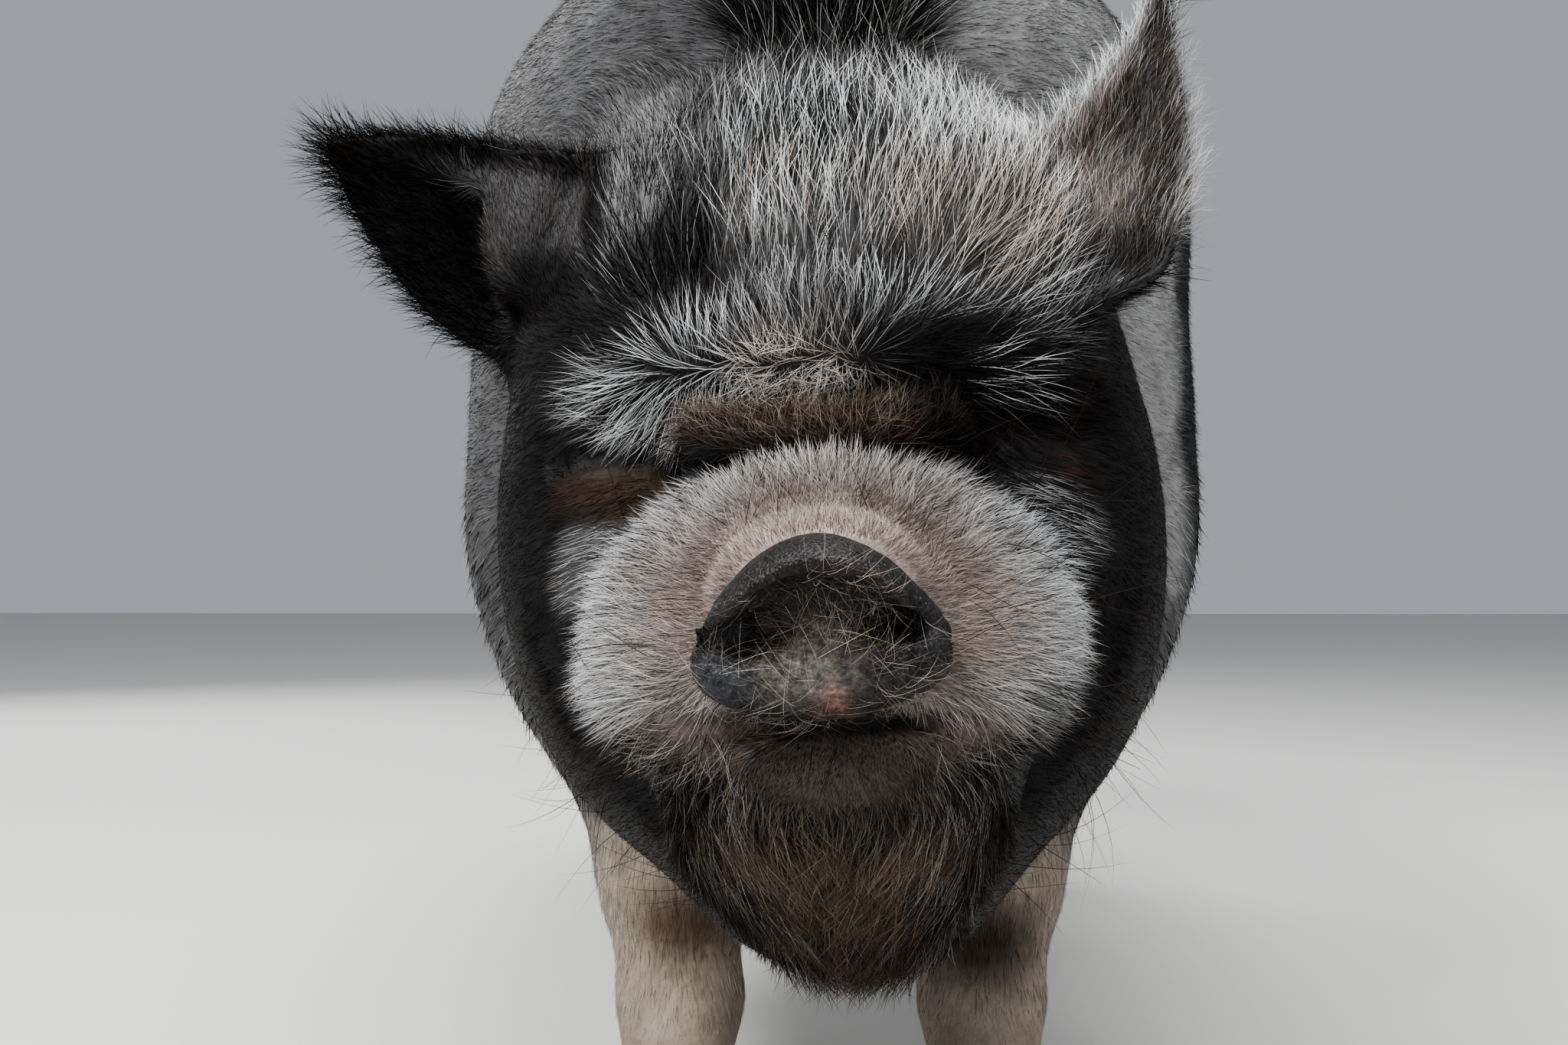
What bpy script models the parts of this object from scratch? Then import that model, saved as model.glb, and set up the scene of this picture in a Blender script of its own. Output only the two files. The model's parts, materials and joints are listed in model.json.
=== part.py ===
"""Vietnamese pot-bellied pig, life size, standing square with its head low.

Each soft mass of the animal is an ellipsoid or a tapered limb with a named place and size.
A voxel remesh fuses the masses, and every vertex is then settled on their smooth union, so
that flesh flows into flesh. Creases, folds and nostrils are shallow terms of the same field.
The body is parted into its named pieces by thin cuts. The long bristles are flat, tapered
locks, joined to the piece that they grow from.

-Y is forward, +X is the pig's left, +Z is up, and the floor is at Z = 0.
"""

import math
import random
from dataclasses import dataclass

import bmesh
import bpy
import numpy as np
from mathutils import Matrix, Vector

# Pieces stand this far apart. A cutter of round or soft pieces is grown by a little more.
GAP = 0.0003
HORN_GAP = 1.3 * GAP
SOFT_GAP = 1.4 * GAP
EYE_GAP = 1.5 * GAP
EAR_GAP = 3 * GAP

# The head leans and turns a little about the base of the skull.
HEAD_PIVOT = np.array((0.0, -0.36, 0.265))
HEAD_LEAN = math.radians(4.5)
HEAD_TURN = math.radians(2.0)

SIDES = {"left": 1.0, "right": -1.0}


@dataclass(frozen=True)
class Mass:
    """An ellipsoid of flesh. A paired one is made on both sides of the midline."""

    centre: tuple
    radii: tuple
    blend: float
    paired: bool = False


@dataclass(frozen=True)
class Limb:
    """A round cone of flesh between two points."""

    start: tuple
    end: tuple
    start_radius: float
    end_radius: float
    blend: float
    paired: bool = False


TRUNK = (
    Mass((0, -0.150, 0.325), (0.152, 0.18, 0.175), 0.06),
    Mass((0, -0.140, 0.415), (0.156, 0.20, 0.150), 0.06),
    Mass((0, 0.110, 0.285), (0.175, 0.30, 0.200), 0.08),
    Mass((0, 0.090, 0.390), (0.177, 0.33, 0.150), 0.07),
    Mass((0, 0.355, 0.365), (0.158, 0.185, 0.175), 0.07),
    Mass((0.098, 0.355, 0.275), (0.078, 0.125, 0.150), 0.05, True),
    Mass((0.092, -0.185, 0.270), (0.078, 0.10, 0.135), 0.05, True),
)
NECK = (
    Mass((0, -0.262, 0.365), (0.130, 0.13, 0.146), 0.06),
    Mass((0, -0.240, 0.440), (0.105, 0.16, 0.088), 0.06),
    Mass((0, -0.310, 0.220), (0.090, 0.11, 0.095), 0.05),
)
LEGS = (
    Limb((0.088, -0.205, 0.245), (0.069, -0.262, 0.105), 0.064, 0.033, 0.04, True),
    Limb((0.069, -0.262, 0.105), (0.066, -0.268, 0.050), 0.031, 0.027, 0.015, True),
    Limb((0.066, -0.268, 0.050), (0.066, -0.284, 0.030), 0.027, 0.025, 0.010, True),
    Limb((0.105, 0.360, 0.250), (0.100, 0.430, 0.135), 0.070, 0.034, 0.04, True),
    Limb((0.100, 0.430, 0.135), (0.096, 0.405, 0.055), 0.030, 0.026, 0.015, True),
    Limb((0.096, 0.405, 0.055), (0.096, 0.388, 0.030), 0.026, 0.024, 0.010, True),
)
EYE_CENTRE = (0.0640, -0.4500, 0.2740)
EYE_RADIUS = 0.0115
LID_RADIUS = 0.0150
EYE_SUBDIVISIONS = 3

# The opening between the lids: a lens of this half size, this far ahead of the eye's centre.
SLIT_HALF = (0.0095, 0.024, 0.0042)
SLIT_LOOK = (0.80, -0.75, 0.0)
SLIT_AHEAD = 0.018

HEAD = (
    Mass((0, -0.365, 0.330), (0.100, 0.115, 0.110), 0.04),
    Mass((0.060, -0.394, 0.348), (0.042, 0.062, 0.050), 0.025, True),
    Mass((0.067, -0.392, 0.250), (0.060, 0.086, 0.112), 0.03, True),
    Mass((0, -0.400, 0.164), (0.074, 0.083, 0.078), 0.03),
    Mass((0, -0.468, 0.224), (0.082, 0.068, 0.053), 0.010),
    Mass((0.040, -0.497, 0.203), (0.040, 0.045, 0.032), 0.020, True),
    Limb((0, -0.490, 0.233), (0, -0.523, 0.227), 0.047, 0.034, 0.025),
    Limb((0.012, -0.472, 0.315), (0.078, -0.444, 0.306), 0.024, 0.020, 0.010, True),
    Limb((-0.032, -0.487, 0.285), (0.032, -0.487, 0.285), 0.0155, 0.0155, 0.008),
    Mass((0, -0.500, 0.174), (0.046, 0.048, 0.028), 0.015),
    Mass((0, -0.445, 0.165), (0.066, 0.070, 0.048), 0.03),
    Mass(EYE_CENTRE, (LID_RADIUS,) * 3, 0.006, True),
)
SNOUT_CENTRE = np.array((0.0, -0.556, 0.222))
SNOUT_PITCH = math.radians(22)
SNOUT_HALF = (0.039, 0.029, 0.009)
SNOUT_CORNER = 0.007
NOSTRIL = (0.0175, 0.0030)
NOSTRIL_HALF = (0.0105, 0.0065)
NOSTRIL_DEPTH = 0.013
SNOUT_VOXEL = 0.0016
SNOUT_FACES = 520

# The lower jaw is what lies in the lower half of this ellipsoid.
JAW_CENTRE = (0.0, -0.492, 0.1905)
JAW_RADII = (0.052, 0.070, 0.046)

# Thin cuts that part the body: a point on each plane and the slope of the plane in side view.
HEAD_CUT = (-0.305, 0.300, math.radians(-8))
NECK_CUT = (-0.200, 0.300, math.radians(-10))
FACE_VOXEL = 0.0030
BODY_VOXEL = 0.0075
HEAD_FACES = 2900
BODY_FACES = 1900

# Settling stops this far behind the face and this far ahead of the body.
HEAD_END = -0.25
BODY_START = -0.37
SHARP = math.radians(38)

FEET = {
    "fore": {"leg_region": ((0.076, -0.247, 0.130), (0.062, 0.080, 0.065)), "toe": (0.066, -0.290)},
    "hind": {"leg_region": ((0.098, 0.402, 0.140), (0.068, 0.086, 0.070)), "toe": (0.096, 0.382)},
}
LEG_DOME = (20, 12)
LEG_DROP = 0.20
LEG_DROP_BELOW = -0.01
HOOF_HEIGHT = 0.026
CLAW_HALF = (0.0145, 0.026)
CLAW_POINTS = 10
CLAW_NARROWING = 0.35
CLAW_TOE_IN = 0.0035
CLEFT = 0.0035

# Height, size and set-back of each outline of a claw, from the sole up.
CLAW_LEVELS = ((0.0, 1.0, 0.0), (0.006, 1.0, 0.001), (0.6 * HOOF_HEIGHT, 0.90, 0.004),
               (HOOF_HEIGHT, 0.74, 0.007))
DEWCLAW_RADII = (0.0085, 0.003)
DEWCLAW_LENGTH = 0.030
DEWCLAW_LEAN = (0, 0.55, -0.84)
DEWCLAW_SIDES = 10

# Middle of a dewclaw: aside from the foot, behind the toe and above the floor.
DEWCLAW_PLACE = (0.013, 0.047, 0.046)


@dataclass(frozen=True)
class Ear:
    """A cupped, pointed leaf. `facing` is the way that its hollow opens.

    Its half width shrinks along it as (1 - share ** taper[0]) ** taper[1], and its middle line
    sways sideways by at most `sway`.
    """

    root: tuple
    tip: tuple
    facing: tuple
    width: float
    cup: float
    curl: float
    taper: tuple
    sway: float


EARS = {
    "left": Ear((0.0812, -0.432, 0.3508), (0.1255, -0.400, 0.4586), (-0.30, -0.93, 0.10),
                0.098, 1.1, 0.06, (1.0, 1.6), 0.010),
    "right": Ear((-0.088, -0.400, 0.352), (-0.188, -0.410, 0.400), (0.20, -0.93, -0.30),
                 0.098, 1.4, 0.06, (1.25, 0.95), -0.006),
}
EAR_THICK = 0.0036
EAR_GRID = (9, 10)
EAR_SUNK = 0.16
EAR_SWELL = (0.80, 0.55)
EAR_LEAST_HALF = 0.0015
EAR_UNCUPPING = 0.62
EAR_LEVEL = 0.7
LEAST_SINE = 0.3

TAIL_ROUTE = ((0, 0.500, 0.455), (0, 0.540, 0.450), (0, 0.566, 0.415), (0, 0.571, 0.360),
              (0, 0.570, 0.300), (0, 0.568, 0.245))
TAIL_RADII = (0.021, 0.019, 0.015, 0.011, 0.008, 0.0065)


@dataclass(frozen=True)
class Bristles:
    """Locks of one zone: rows of root places, their size, and the way that they lie.

    `rows` and `columns` are (first, last, count). A row and a column give a start place by the
    zone's own rule, from which the root is dropped on to the flesh.
    """

    rows: tuple
    columns: tuple
    length: float
    width: float
    rise: float
    lie: tuple


LOCK_THICK = 0.0032
LOCK_SINK = 0.0028
LOCK_STATIONS = ((-0.12, 0.80), (0.30, 1.0), (0.72, 0.60))
CREST = Bristles((-0.285, 0.170, 12), (-0.040, 0.040, 3), 0.080, 0.034, 20, (0, 1, 0.05))
FOREHEAD = Bristles((0.342, 0.430, 5), (-0.066, 0.066, 5), 0.054, 0.026, 17, (0, 0.35, 1))
BROW = Bristles((0.303, 0.322, 2), (-0.080, 0.080, 7), 0.034, 0.025, 22, (0, -0.3, -1))
RUFF = Bristles((0, 1, 1), (-146, 146, 16), 0.038, 0.026, 20, (0, 1, 0))
THROAT = Bristles((0.100, 0.142, 2), (-0.046, 0.046, 4), 0.052, 0.026, 14, (0, 0.25, -1))
SWITCH = Bristles((0.242, 0.285, 2), (0, 240, 3), 0.075, 0.018, 10, (0, 0, -1))
SWITCH_TURN = 60
SWITCH_REACH = 0.0075

# Where roots start before they drop on to the flesh, and how they drop.
AHEAD_OF_FACE = -0.62
ABOVE_BACK = 0.72
RUFF_CENTRE = (0, -0.490, 0.228)
RUFF_REACH = 0.16
DROP_STEPS = 70
DROP_SHARE = 0.7


def mirrored(point):
    return (-point[0], point[1], point[2])


def both_sides(masses):
    """The masses of both sides, in order, so that each joins the whole with its own blend."""
    for mass in masses:
        yield mass
        if mass.paired and isinstance(mass, Mass):
            yield Mass(mirrored(mass.centre), mass.radii, mass.blend)
        elif mass.paired:
            yield Limb(mirrored(mass.start), mirrored(mass.end), mass.start_radius,
                       mass.end_radius, mass.blend)


def ellipsoid(points, centre, radii):
    offset = points - np.array(centre)
    radii = np.array(radii)
    near = np.linalg.norm(offset / radii, axis=1)
    steep = np.linalg.norm(offset / radii ** 2, axis=1)
    return near * (near - 1) / np.maximum(steep, 1e-9)


def round_cone(points, limb):
    start, end = np.array(limb.start), np.array(limb.end)
    along = end - start
    share = np.clip((points - start) @ along / (along @ along), 0, 1)
    radius = limb.start_radius + (limb.end_radius - limb.start_radius) * share
    return np.linalg.norm(points - start - share[:, None] * along, axis=1) - radius


def distance_to(points, mass):
    if isinstance(mass, Limb):
        return round_cone(points, mass)
    return ellipsoid(points, mass.centre, mass.radii)


def joined(first, second, blend):
    """Smooth union of two distances: flesh fills the corner over the width `blend`."""
    near = np.maximum(blend - np.abs(first - second), 0) / blend
    return np.minimum(first, second) - near * near * blend / 4


def head_turn():
    """Rotation that carries the square head to its pose."""
    lean = Matrix.Rotation(-HEAD_LEAN, 3, "Y")
    turn = Matrix.Rotation(-HEAD_TURN, 3, "Z")
    return np.array(turn @ lean)


HEAD_MATRIX = head_turn()


def to_square_head(points):
    return (points - HEAD_PIVOT) @ HEAD_MATRIX + HEAD_PIVOT


def to_posed_head(points):
    return (points - HEAD_PIVOT) @ HEAD_MATRIX.T + HEAD_PIVOT


def posed_point(point):
    return Vector(to_posed_head(np.array(point)[None])[0])


def snout_axes():
    """The snout disc's own axes: across, up its face, and out along its normal."""
    across = np.array((1.0, 0, 0))
    out = np.array((0, -math.cos(SNOUT_PITCH), -math.sin(SNOUT_PITCH)))
    return across, np.cross(across, out), out


def snout_frame(points):
    offset = points - SNOUT_CENTRE
    return tuple(offset @ axis for axis in snout_axes())


def snout_disc(points):
    """Distance to a disc with a rounded edge, with a pit for each nostril."""
    across, up, out = snout_frame(points)
    half_wide, half_high, half_thick = SNOUT_HALF
    rim = (np.sqrt((across / half_wide) ** 2 + (up / half_high) ** 2) - 1) * half_high
    face = np.abs(out) - half_thick
    outside = np.stack((np.maximum(rim + SNOUT_CORNER, 0), np.maximum(face + SNOUT_CORNER, 0)))
    inside = np.minimum(np.maximum(rim + SNOUT_CORNER, face + SNOUT_CORNER), 0)
    whole = np.linalg.norm(outside, axis=0) + inside - SNOUT_CORNER
    front = np.clip((out + half_thick) / half_thick, 0, 1)
    for side in SIDES.values():
        hole = np.sqrt(((across - side * NOSTRIL[0]) / NOSTRIL_HALF[0]) ** 2
                       + ((up - NOSTRIL[1]) / NOSTRIL_HALF[1]) ** 2)
        whole = whole + NOSTRIL_DEPTH * np.exp(-hole ** 4) * front
    return whole


def bump(distance, width):
    return np.exp(-(distance / width) ** 2)


def route_distance(points, route):
    """Distance to a line through a few points."""
    route = [np.array(p) for p in route]
    nearest = np.full(len(points), np.inf)
    for start, end in zip(route, route[1:]):
        along = end - start
        share = np.clip((points - start) @ along / (along @ along), 0, 1)
        gap = np.linalg.norm(points - start - share[:, None] * along, axis=1)
        nearest = np.minimum(nearest, gap)
    return nearest


# Each crease is a route on the left side of the square head, its depth and its half width.
CREASES = {
    "mouth": (((0, -0.552, 0.194), (0.028, -0.535, 0.192), (0.055, -0.502, 0.187),
               (0.080, -0.462, 0.194)), 0.008, 0.0036),
    "beside muzzle": (((0.088, -0.455, 0.262), (0.098, -0.450, 0.225), (0.086, -0.455, 0.185),
                       (0.060, -0.462, 0.160)), 0.008, 0.008),
    "behind jowl": (((0.112, -0.325, 0.340), (0.135, -0.312, 0.26), (0.105, -0.318, 0.150),
                     (0.040, -0.330, 0.090)), 0.014, 0.014),
}


def head_creases(points):
    """How far the head's surface is drawn in at its creases."""
    depth = np.zeros(len(points))
    folded = np.column_stack((np.abs(points[:, 0]), points[:, 1:]))
    for route, deep, wide in CREASES.values():
        depth += deep * bump(route_distance(folded, route), wide)
    return depth


def union_of(points, masses):
    whole = None
    for mass in both_sides(masses):
        found = distance_to(points, mass)
        whole = found if whole is None else joined(whole, found, mass.blend)
    return whole


def flesh(points):
    """The field whose zero is the skin: negative inside, about metres near the skin."""
    square = to_square_head(points)
    body = union_of(points, TRUNK + NECK + LEGS)
    return joined(body, union_of(square, HEAD), 0.03) + head_creases(square)


def posed_disc(points):
    return snout_disc(to_square_head(points))


def slope(field, points, step=0.0004):
    out = np.empty_like(points)
    for axis in range(3):
        nudge = np.zeros(3)
        nudge[axis] = step
        out[:, axis] = (field(points + nudge) - field(points - nudge)) / (2 * step)
    return out


def vertices_of(mesh):
    points = np.empty(len(mesh.vertices) * 3, np.float32)
    mesh.vertices.foreach_get("co", points)
    return points.reshape(-1, 3).astype(float)


def settle(mesh, field, rounds=4, reach=0.008, only=None):
    """Moves vertices along the field's slope on to its zero, and evens the spacing between."""
    points = vertices_of(mesh)
    free = np.ones(len(points), bool) if only is None else only(points)
    ends = np.empty(len(mesh.edges) * 2, np.int32)
    mesh.edges.foreach_get("vertices", ends)
    ends = ends.reshape(-1, 2)
    count = np.bincount(ends.ravel(), minlength=len(points))[:, None]
    for turn in range(rounds):
        moving = points[free]
        grade = slope(field, moving)
        size = np.linalg.norm(grade, axis=1, keepdims=True)
        step = field(moving)[:, None] * grade / np.maximum(size ** 2, 0.1)
        length = np.linalg.norm(step, axis=1, keepdims=True)
        points[free] = moving - step * np.minimum(1, reach / np.maximum(length, 1e-9))
        if turn < rounds - 2:
            near = np.zeros_like(points)
            np.add.at(near, ends[:, 0], points[ends[:, 1]])
            np.add.at(near, ends[:, 1], points[ends[:, 0]])
            points = points + 0.5 * (near / count - points)
    mesh.vertices.foreach_set("co", points.astype(np.float32).ravel())
    mesh.update()


def linked(name, mesh):
    obj = bpy.data.objects.new(name, mesh)
    bpy.context.scene.collection.objects.link(obj)
    return obj


def linked_cage(name, cage):
    mesh = bpy.data.meshes.new(name)
    cage.to_mesh(mesh)
    cage.free()
    return linked(name, mesh)


def applied(obj):
    """The object with its modifiers made real."""
    graph = bpy.context.evaluated_depsgraph_get()
    mesh = bpy.data.meshes.new_from_object(obj.evaluated_get(graph))
    obj.modifiers.clear()
    obj.data = mesh
    return obj


def cut(obj, cutter, operation="DIFFERENCE", solver="EXACT"):
    """Cuts one object with another, which is then removed."""
    modifier = obj.modifiers.new("Cut", "BOOLEAN")
    modifier.operation = operation
    modifier.object = cutter
    modifier.solver = solver
    applied(obj)
    bpy.data.objects.remove(cutter, do_unlink=True)
    return obj


def thinned(obj, faces):
    """The object with its triangles collapsed to about this many."""
    modifier = obj.modifiers.new("Thin", "DECIMATE")
    obj.data.calc_loop_triangles()
    modifier.ratio = min(1.0, faces / len(obj.data.loop_triangles))
    modifier.use_collapse_triangulate = True
    return applied(obj)


def largest(obj):
    """The object with only its largest closed surface."""
    cage = bmesh.new()
    cage.from_mesh(obj.data)
    cage.faces.ensure_lookup_table()
    unseen = set(cage.faces)
    shells = []
    while unseen:
        front = [unseen.pop()]
        shell = list(front)
        while front:
            face = front.pop()
            for edge in face.edges:
                for other in edge.link_faces:
                    if other in unseen:
                        unseen.remove(other)
                        front.append(other)
                        shell.append(other)
        shells.append(shell)
    shells.sort(key=lambda shell: sum(face.calc_area() for face in shell))
    dropped = [face for shell in shells[:-1] for face in shell]
    bmesh.ops.delete(cage, geom=dropped, context="FACES")
    bmesh.ops.triangulate(cage, faces=cage.faces)
    cage.to_mesh(obj.data)
    cage.free()
    return obj


def copied(obj, grow=0.0):
    """A copy for use as a cutter, with its surface moved out by `grow`."""
    mesh = obj.data.copy()
    if grow:
        cage = bmesh.new()
        cage.from_mesh(mesh)
        cage.normal_update()
        places = [vertex.co + vertex.normal * grow for vertex in cage.verts]
        for vertex, place in zip(cage.verts, places):
            vertex.co = place
        cage.to_mesh(mesh)
        cage.free()
    return linked("cutter", mesh)


def landed(starts, heading):
    """Where each start place meets the flesh, gone along `heading`, and the skin's way out there."""
    points = np.array(starts, float)
    heading = np.array(heading, float)
    if heading.ndim == 1:
        heading = np.tile(heading, (len(points), 1))
    heading = heading / np.linalg.norm(heading, axis=1, keepdims=True)
    for _ in range(DROP_STEPS):
        points = points + heading * (DROP_SHARE * flesh(points))[:, None]
    out = slope(flesh, points)
    return points, out / np.linalg.norm(out, axis=1, keepdims=True)


def make_lock(root, out, lie, zone, draw):
    """One flat, tapered, bent lock with a sharp tip, its root sunk in the skin."""
    length = zone.length * draw.uniform(0.85, 1.15)
    width = zone.width * draw.uniform(0.85, 1.1)
    rise = math.radians(zone.rise * draw.uniform(0.85, 1.15))
    out, lie = Vector(out), Vector(lie)
    lie = (lie - out * lie.dot(out)).normalized()
    across = lie.cross(out)
    lie = (lie + across * draw.uniform(-0.22, 0.22)).normalized()
    across = lie.cross(out)
    cage = bmesh.new()
    rings = []
    for share, wide in LOCK_STATIONS + ((1.0, 0.0),):
        tilt = rise * (1 - 0.55 * share)
        along = lie * math.cos(tilt) + out * math.sin(tilt)
        face = out * math.cos(tilt) - lie * math.sin(tilt)
        place = Vector(root) - out * LOCK_SINK + along * (length * share)
        if not wide:
            rings.append([cage.verts.new(place)])
            continue
        side, thick = across * (width * wide / 2), face * (LOCK_THICK * wide / 2)
        corners = (side, thick, -side, -thick)
        rings.append([cage.verts.new(place + corner) for corner in corners])
    for low, high in zip(rings, rings[1:-1]):
        for i in range(4):
            j = (i + 1) % 4
            cage.faces.new((low[i], low[j], high[j]))
            cage.faces.new((low[i], high[j], high[i]))
    for i in range(4):
        cage.faces.new((rings[-2][i], rings[-2][(i + 1) % 4], rings[-1][0]))
    cage.faces.new(rings[0][:3])
    cage.faces.new((rings[0][0], rings[0][2], rings[0][3]))
    bmesh.ops.recalc_face_normals(cage, faces=cage.faces)
    return linked_cage("lock", cage)


def spaced(span):
    first, last, count = span
    return np.linspace(first, last, count) if count > 1 else np.array([(first + last) / 2])


def grown(obj, locks):
    """Joins locks to the piece that they grow from."""
    if not locks:
        return obj
    group = bpy.data.collections.new("locks")
    for lock in locks:
        group.objects.link(lock)
    modifier = obj.modifiers.new("Grow", "BOOLEAN")
    modifier.operation = "UNION"
    modifier.operand_type = "COLLECTION"
    modifier.collection = group
    modifier.solver = "EXACT"
    applied(obj)
    for lock in locks:
        bpy.data.objects.remove(lock, do_unlink=True)
    bpy.data.collections.remove(group)
    return largest(obj)


def zone_roots(zone, start_of, draw, heading):
    """Root places of a zone, staggered from row to row, with the skin's way out at each."""
    starts = []
    columns = spaced(zone.columns)
    pitch = columns[1] - columns[0]
    for number, row in enumerate(spaced(zone.rows)):
        for column in columns:
            shift = pitch * (0.5 * (number % 2) - 0.25 + draw.uniform(-0.12, 0.12))
            starts.append(start_of(row, column + shift))
    return landed(starts, heading)


def face_locks():
    """Locks of the forehead, brow, muzzle and throat."""
    draw = random.Random(11)
    ahead = np.array((0.0, 1.0, 0.0)) @ HEAD_MATRIX.T
    locks = []
    for zone in (FOREHEAD, BROW, THROAT):
        roots, outs = zone_roots(zone, lambda z, x: posed_point((x, AHEAD_OF_FACE, z)), draw, ahead)
        lie = np.array(zone.lie) @ HEAD_MATRIX.T
        locks += [make_lock(root, out, lie, zone, draw) for root, out in zip(roots, outs)]
    starts, ways, lies = [], [], []
    for degrees in spaced(RUFF.columns):
        angle = math.radians(degrees + draw.uniform(-3, 3))
        outward = np.array((math.sin(angle), 0.0, math.cos(angle)))
        starts.append(np.array(RUFF_CENTRE) + outward * RUFF_REACH)
        ways.append(-outward)
        lies.append(outward * 0.5 + np.array((0, 1.0, 0)))
    starts = to_posed_head(np.array(starts))
    roots, outs = landed(starts, np.array(ways) @ HEAD_MATRIX.T)
    for root, out, lie in zip(roots, outs, np.array(lies) @ HEAD_MATRIX.T):
        locks.append(make_lock(root, out, lie, RUFF, draw))
    return locks


def crest_locks(low, high):
    """Locks of the mane and back whose roots lie between two distances along the body."""
    draw = random.Random(5)
    roots, outs = zone_roots(CREST, lambda y, x: (x, y, ABOVE_BACK), draw, (0, 0, -1))
    locks = []
    for root, out in zip(roots, outs):
        lock = make_lock(root, out, CREST.lie, CREST, draw)
        if low < root[1] < high:
            locks.append(lock)
        else:
            bpy.data.objects.remove(lock, do_unlink=True)
    return locks


def switch_locks():
    """Locks round the end of the tail."""
    draw = random.Random(7)
    locks = []
    for number, height in enumerate(spaced(SWITCH.rows)):
        for degrees in spaced(SWITCH.columns):
            angle = math.radians(degrees + SWITCH_TURN * number)
            out = np.array((math.cos(angle), math.sin(angle), 0.0))
            root = np.array((0.0, TAIL_ROUTE[-1][1], height)) + out * SWITCH_REACH
            locks.append(make_lock(root, out, SWITCH.lie, SWITCH, draw))
    return locks


def lumps(masses):
    """A sphere for each ellipsoid, and a chain of them for each limb, as one loose cage."""
    cage = bmesh.new()
    chain = 6
    for mass in both_sides(masses):
        if isinstance(mass, Mass):
            balls = [(mass.centre, mass.radii)]
        else:
            start, end = Vector(mass.start), Vector(mass.end)
            radii = np.linspace(mass.start_radius, mass.end_radius, chain)
            balls = [(start.lerp(end, i / (chain - 1)), (radii[i],) * 3) for i in range(chain)]
        for centre, radii in balls:
            place = Matrix.Translation(Vector(centre)) @ Matrix.Diagonal((*radii, 1))
            bmesh.ops.create_icosphere(cage, subdivisions=3, radius=1, matrix=place)
    return cage


def fused(name, square_masses, head_masses, voxel):
    """One closed mesh round all the masses, by a voxel remesh."""
    cage = lumps(square_masses)
    head = lumps(head_masses)
    for vertex in head.verts:
        vertex.co = posed_point(vertex.co)
    extra = bpy.data.meshes.new("extra")
    head.to_mesh(extra)
    head.free()
    cage.from_mesh(extra)
    bpy.data.meshes.remove(extra)
    obj = linked_cage(name, cage)
    remesh = obj.modifiers.new("Fuse", "REMESH")
    remesh.mode = "VOXEL"
    remesh.voxel_size = voxel
    return applied(obj)


def half_space(plane, ahead, shift):
    """A large box on one side of a plane that leans in side view. `ahead` is the -Y side."""
    y, z, lean = plane
    reach = 2.0
    side = -1 if ahead else 1
    cage = bmesh.new()
    bmesh.ops.create_cube(cage, size=reach)
    place = Matrix.Translation((0, y, z)) @ Matrix.Rotation(lean, 4, "X")
    place = place @ Matrix.Translation((0, side * (reach / 2 + shift), 0))
    bmesh.ops.transform(cage, matrix=place, verts=cage.verts)
    return linked_cage("half space", cage)


def leg_region(kind, side, grow):
    """A dome over a leg's root, drawn straight down past the floor."""
    centre, radii = FEET[kind]["leg_region"]
    cage = bmesh.new()
    around, up = LEG_DOME
    bmesh.ops.create_uvsphere(cage, u_segments=around, v_segments=up, radius=1)
    for vertex in cage.verts:
        below = vertex.co.z < LEG_DROP_BELOW
        vertex.co = Vector((c * (r + grow) for c, r in zip(vertex.co, radii)))
        vertex.co.z -= LEG_DROP * below
        vertex.co += Vector((side * centre[0], centre[1], centre[2]))
    return linked_cage("leg region", cage)


def jaw_region(grow):
    """The half ellipsoid under the line of the mouth, in which the lower jaw lies."""
    cage = bmesh.new()
    bmesh.ops.create_icosphere(cage, subdivisions=3, radius=1)
    for vertex in cage.verts:
        vertex.co = Vector(c * (r + grow) for c, r in zip(vertex.co, JAW_RADII))
    geometry = list(cage.verts) + list(cage.edges) + list(cage.faces)
    found = bmesh.ops.bisect_plane(cage, geom=geometry, plane_co=(0, 0, grow), plane_no=(0, 0, 1),
                                   clear_outer=True)
    rim = [item for item in found["geom_cut"] if isinstance(item, bmesh.types.BMEdge)]
    bmesh.ops.contextual_create(cage, geom=rim)
    bmesh.ops.recalc_face_normals(cage, faces=cage.faces)
    for vertex in cage.verts:
        vertex.co = posed_point(vertex.co + Vector(JAW_CENTRE))
    return linked_cage("jaw region", cage)


def eye_centre(side):
    """Middle of one eye in the square head."""
    return (side * EYE_CENTRE[0], EYE_CENTRE[1], EYE_CENTRE[2])


def eye_ball(side, radius):
    cage = bmesh.new()
    bmesh.ops.create_icosphere(cage, subdivisions=EYE_SUBDIVISIONS, radius=radius)
    centre = posed_point(eye_centre(side))
    bmesh.ops.translate(cage, vec=centre, verts=cage.verts)
    return linked_cage("eye ball", cage)


def eye_slit(side):
    """The almond opening between the lids, as a lens that reaches in front of the eye."""
    cage = bmesh.new()
    bmesh.ops.create_icosphere(cage, subdivisions=3, radius=1)
    outward = Vector((side * SLIT_LOOK[0], *SLIT_LOOK[1:])).normalized()
    turn = outward.to_track_quat("Y", "Z").to_matrix().to_4x4()
    middle = Vector(eye_centre(side)) + outward * SLIT_AHEAD
    for vertex in cage.verts:
        lens = Vector(c * half for c, half in zip(vertex.co, SLIT_HALF))
        vertex.co = posed_point(turn @ lens + middle)
    return linked_cage("eye slit", cage)


def make_head():
    """The skull, face and jowls as one mesh, ahead of the neck."""
    head = fused("head", NECK, HEAD, FACE_VOXEL)
    settle(head.data, flesh, only=lambda points: points[:, 1] < HEAD_END)
    thinned(head, HEAD_FACES)
    return largest(cut(head, half_space(HEAD_CUT, ahead=False, shift=-GAP / 2)))


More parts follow.
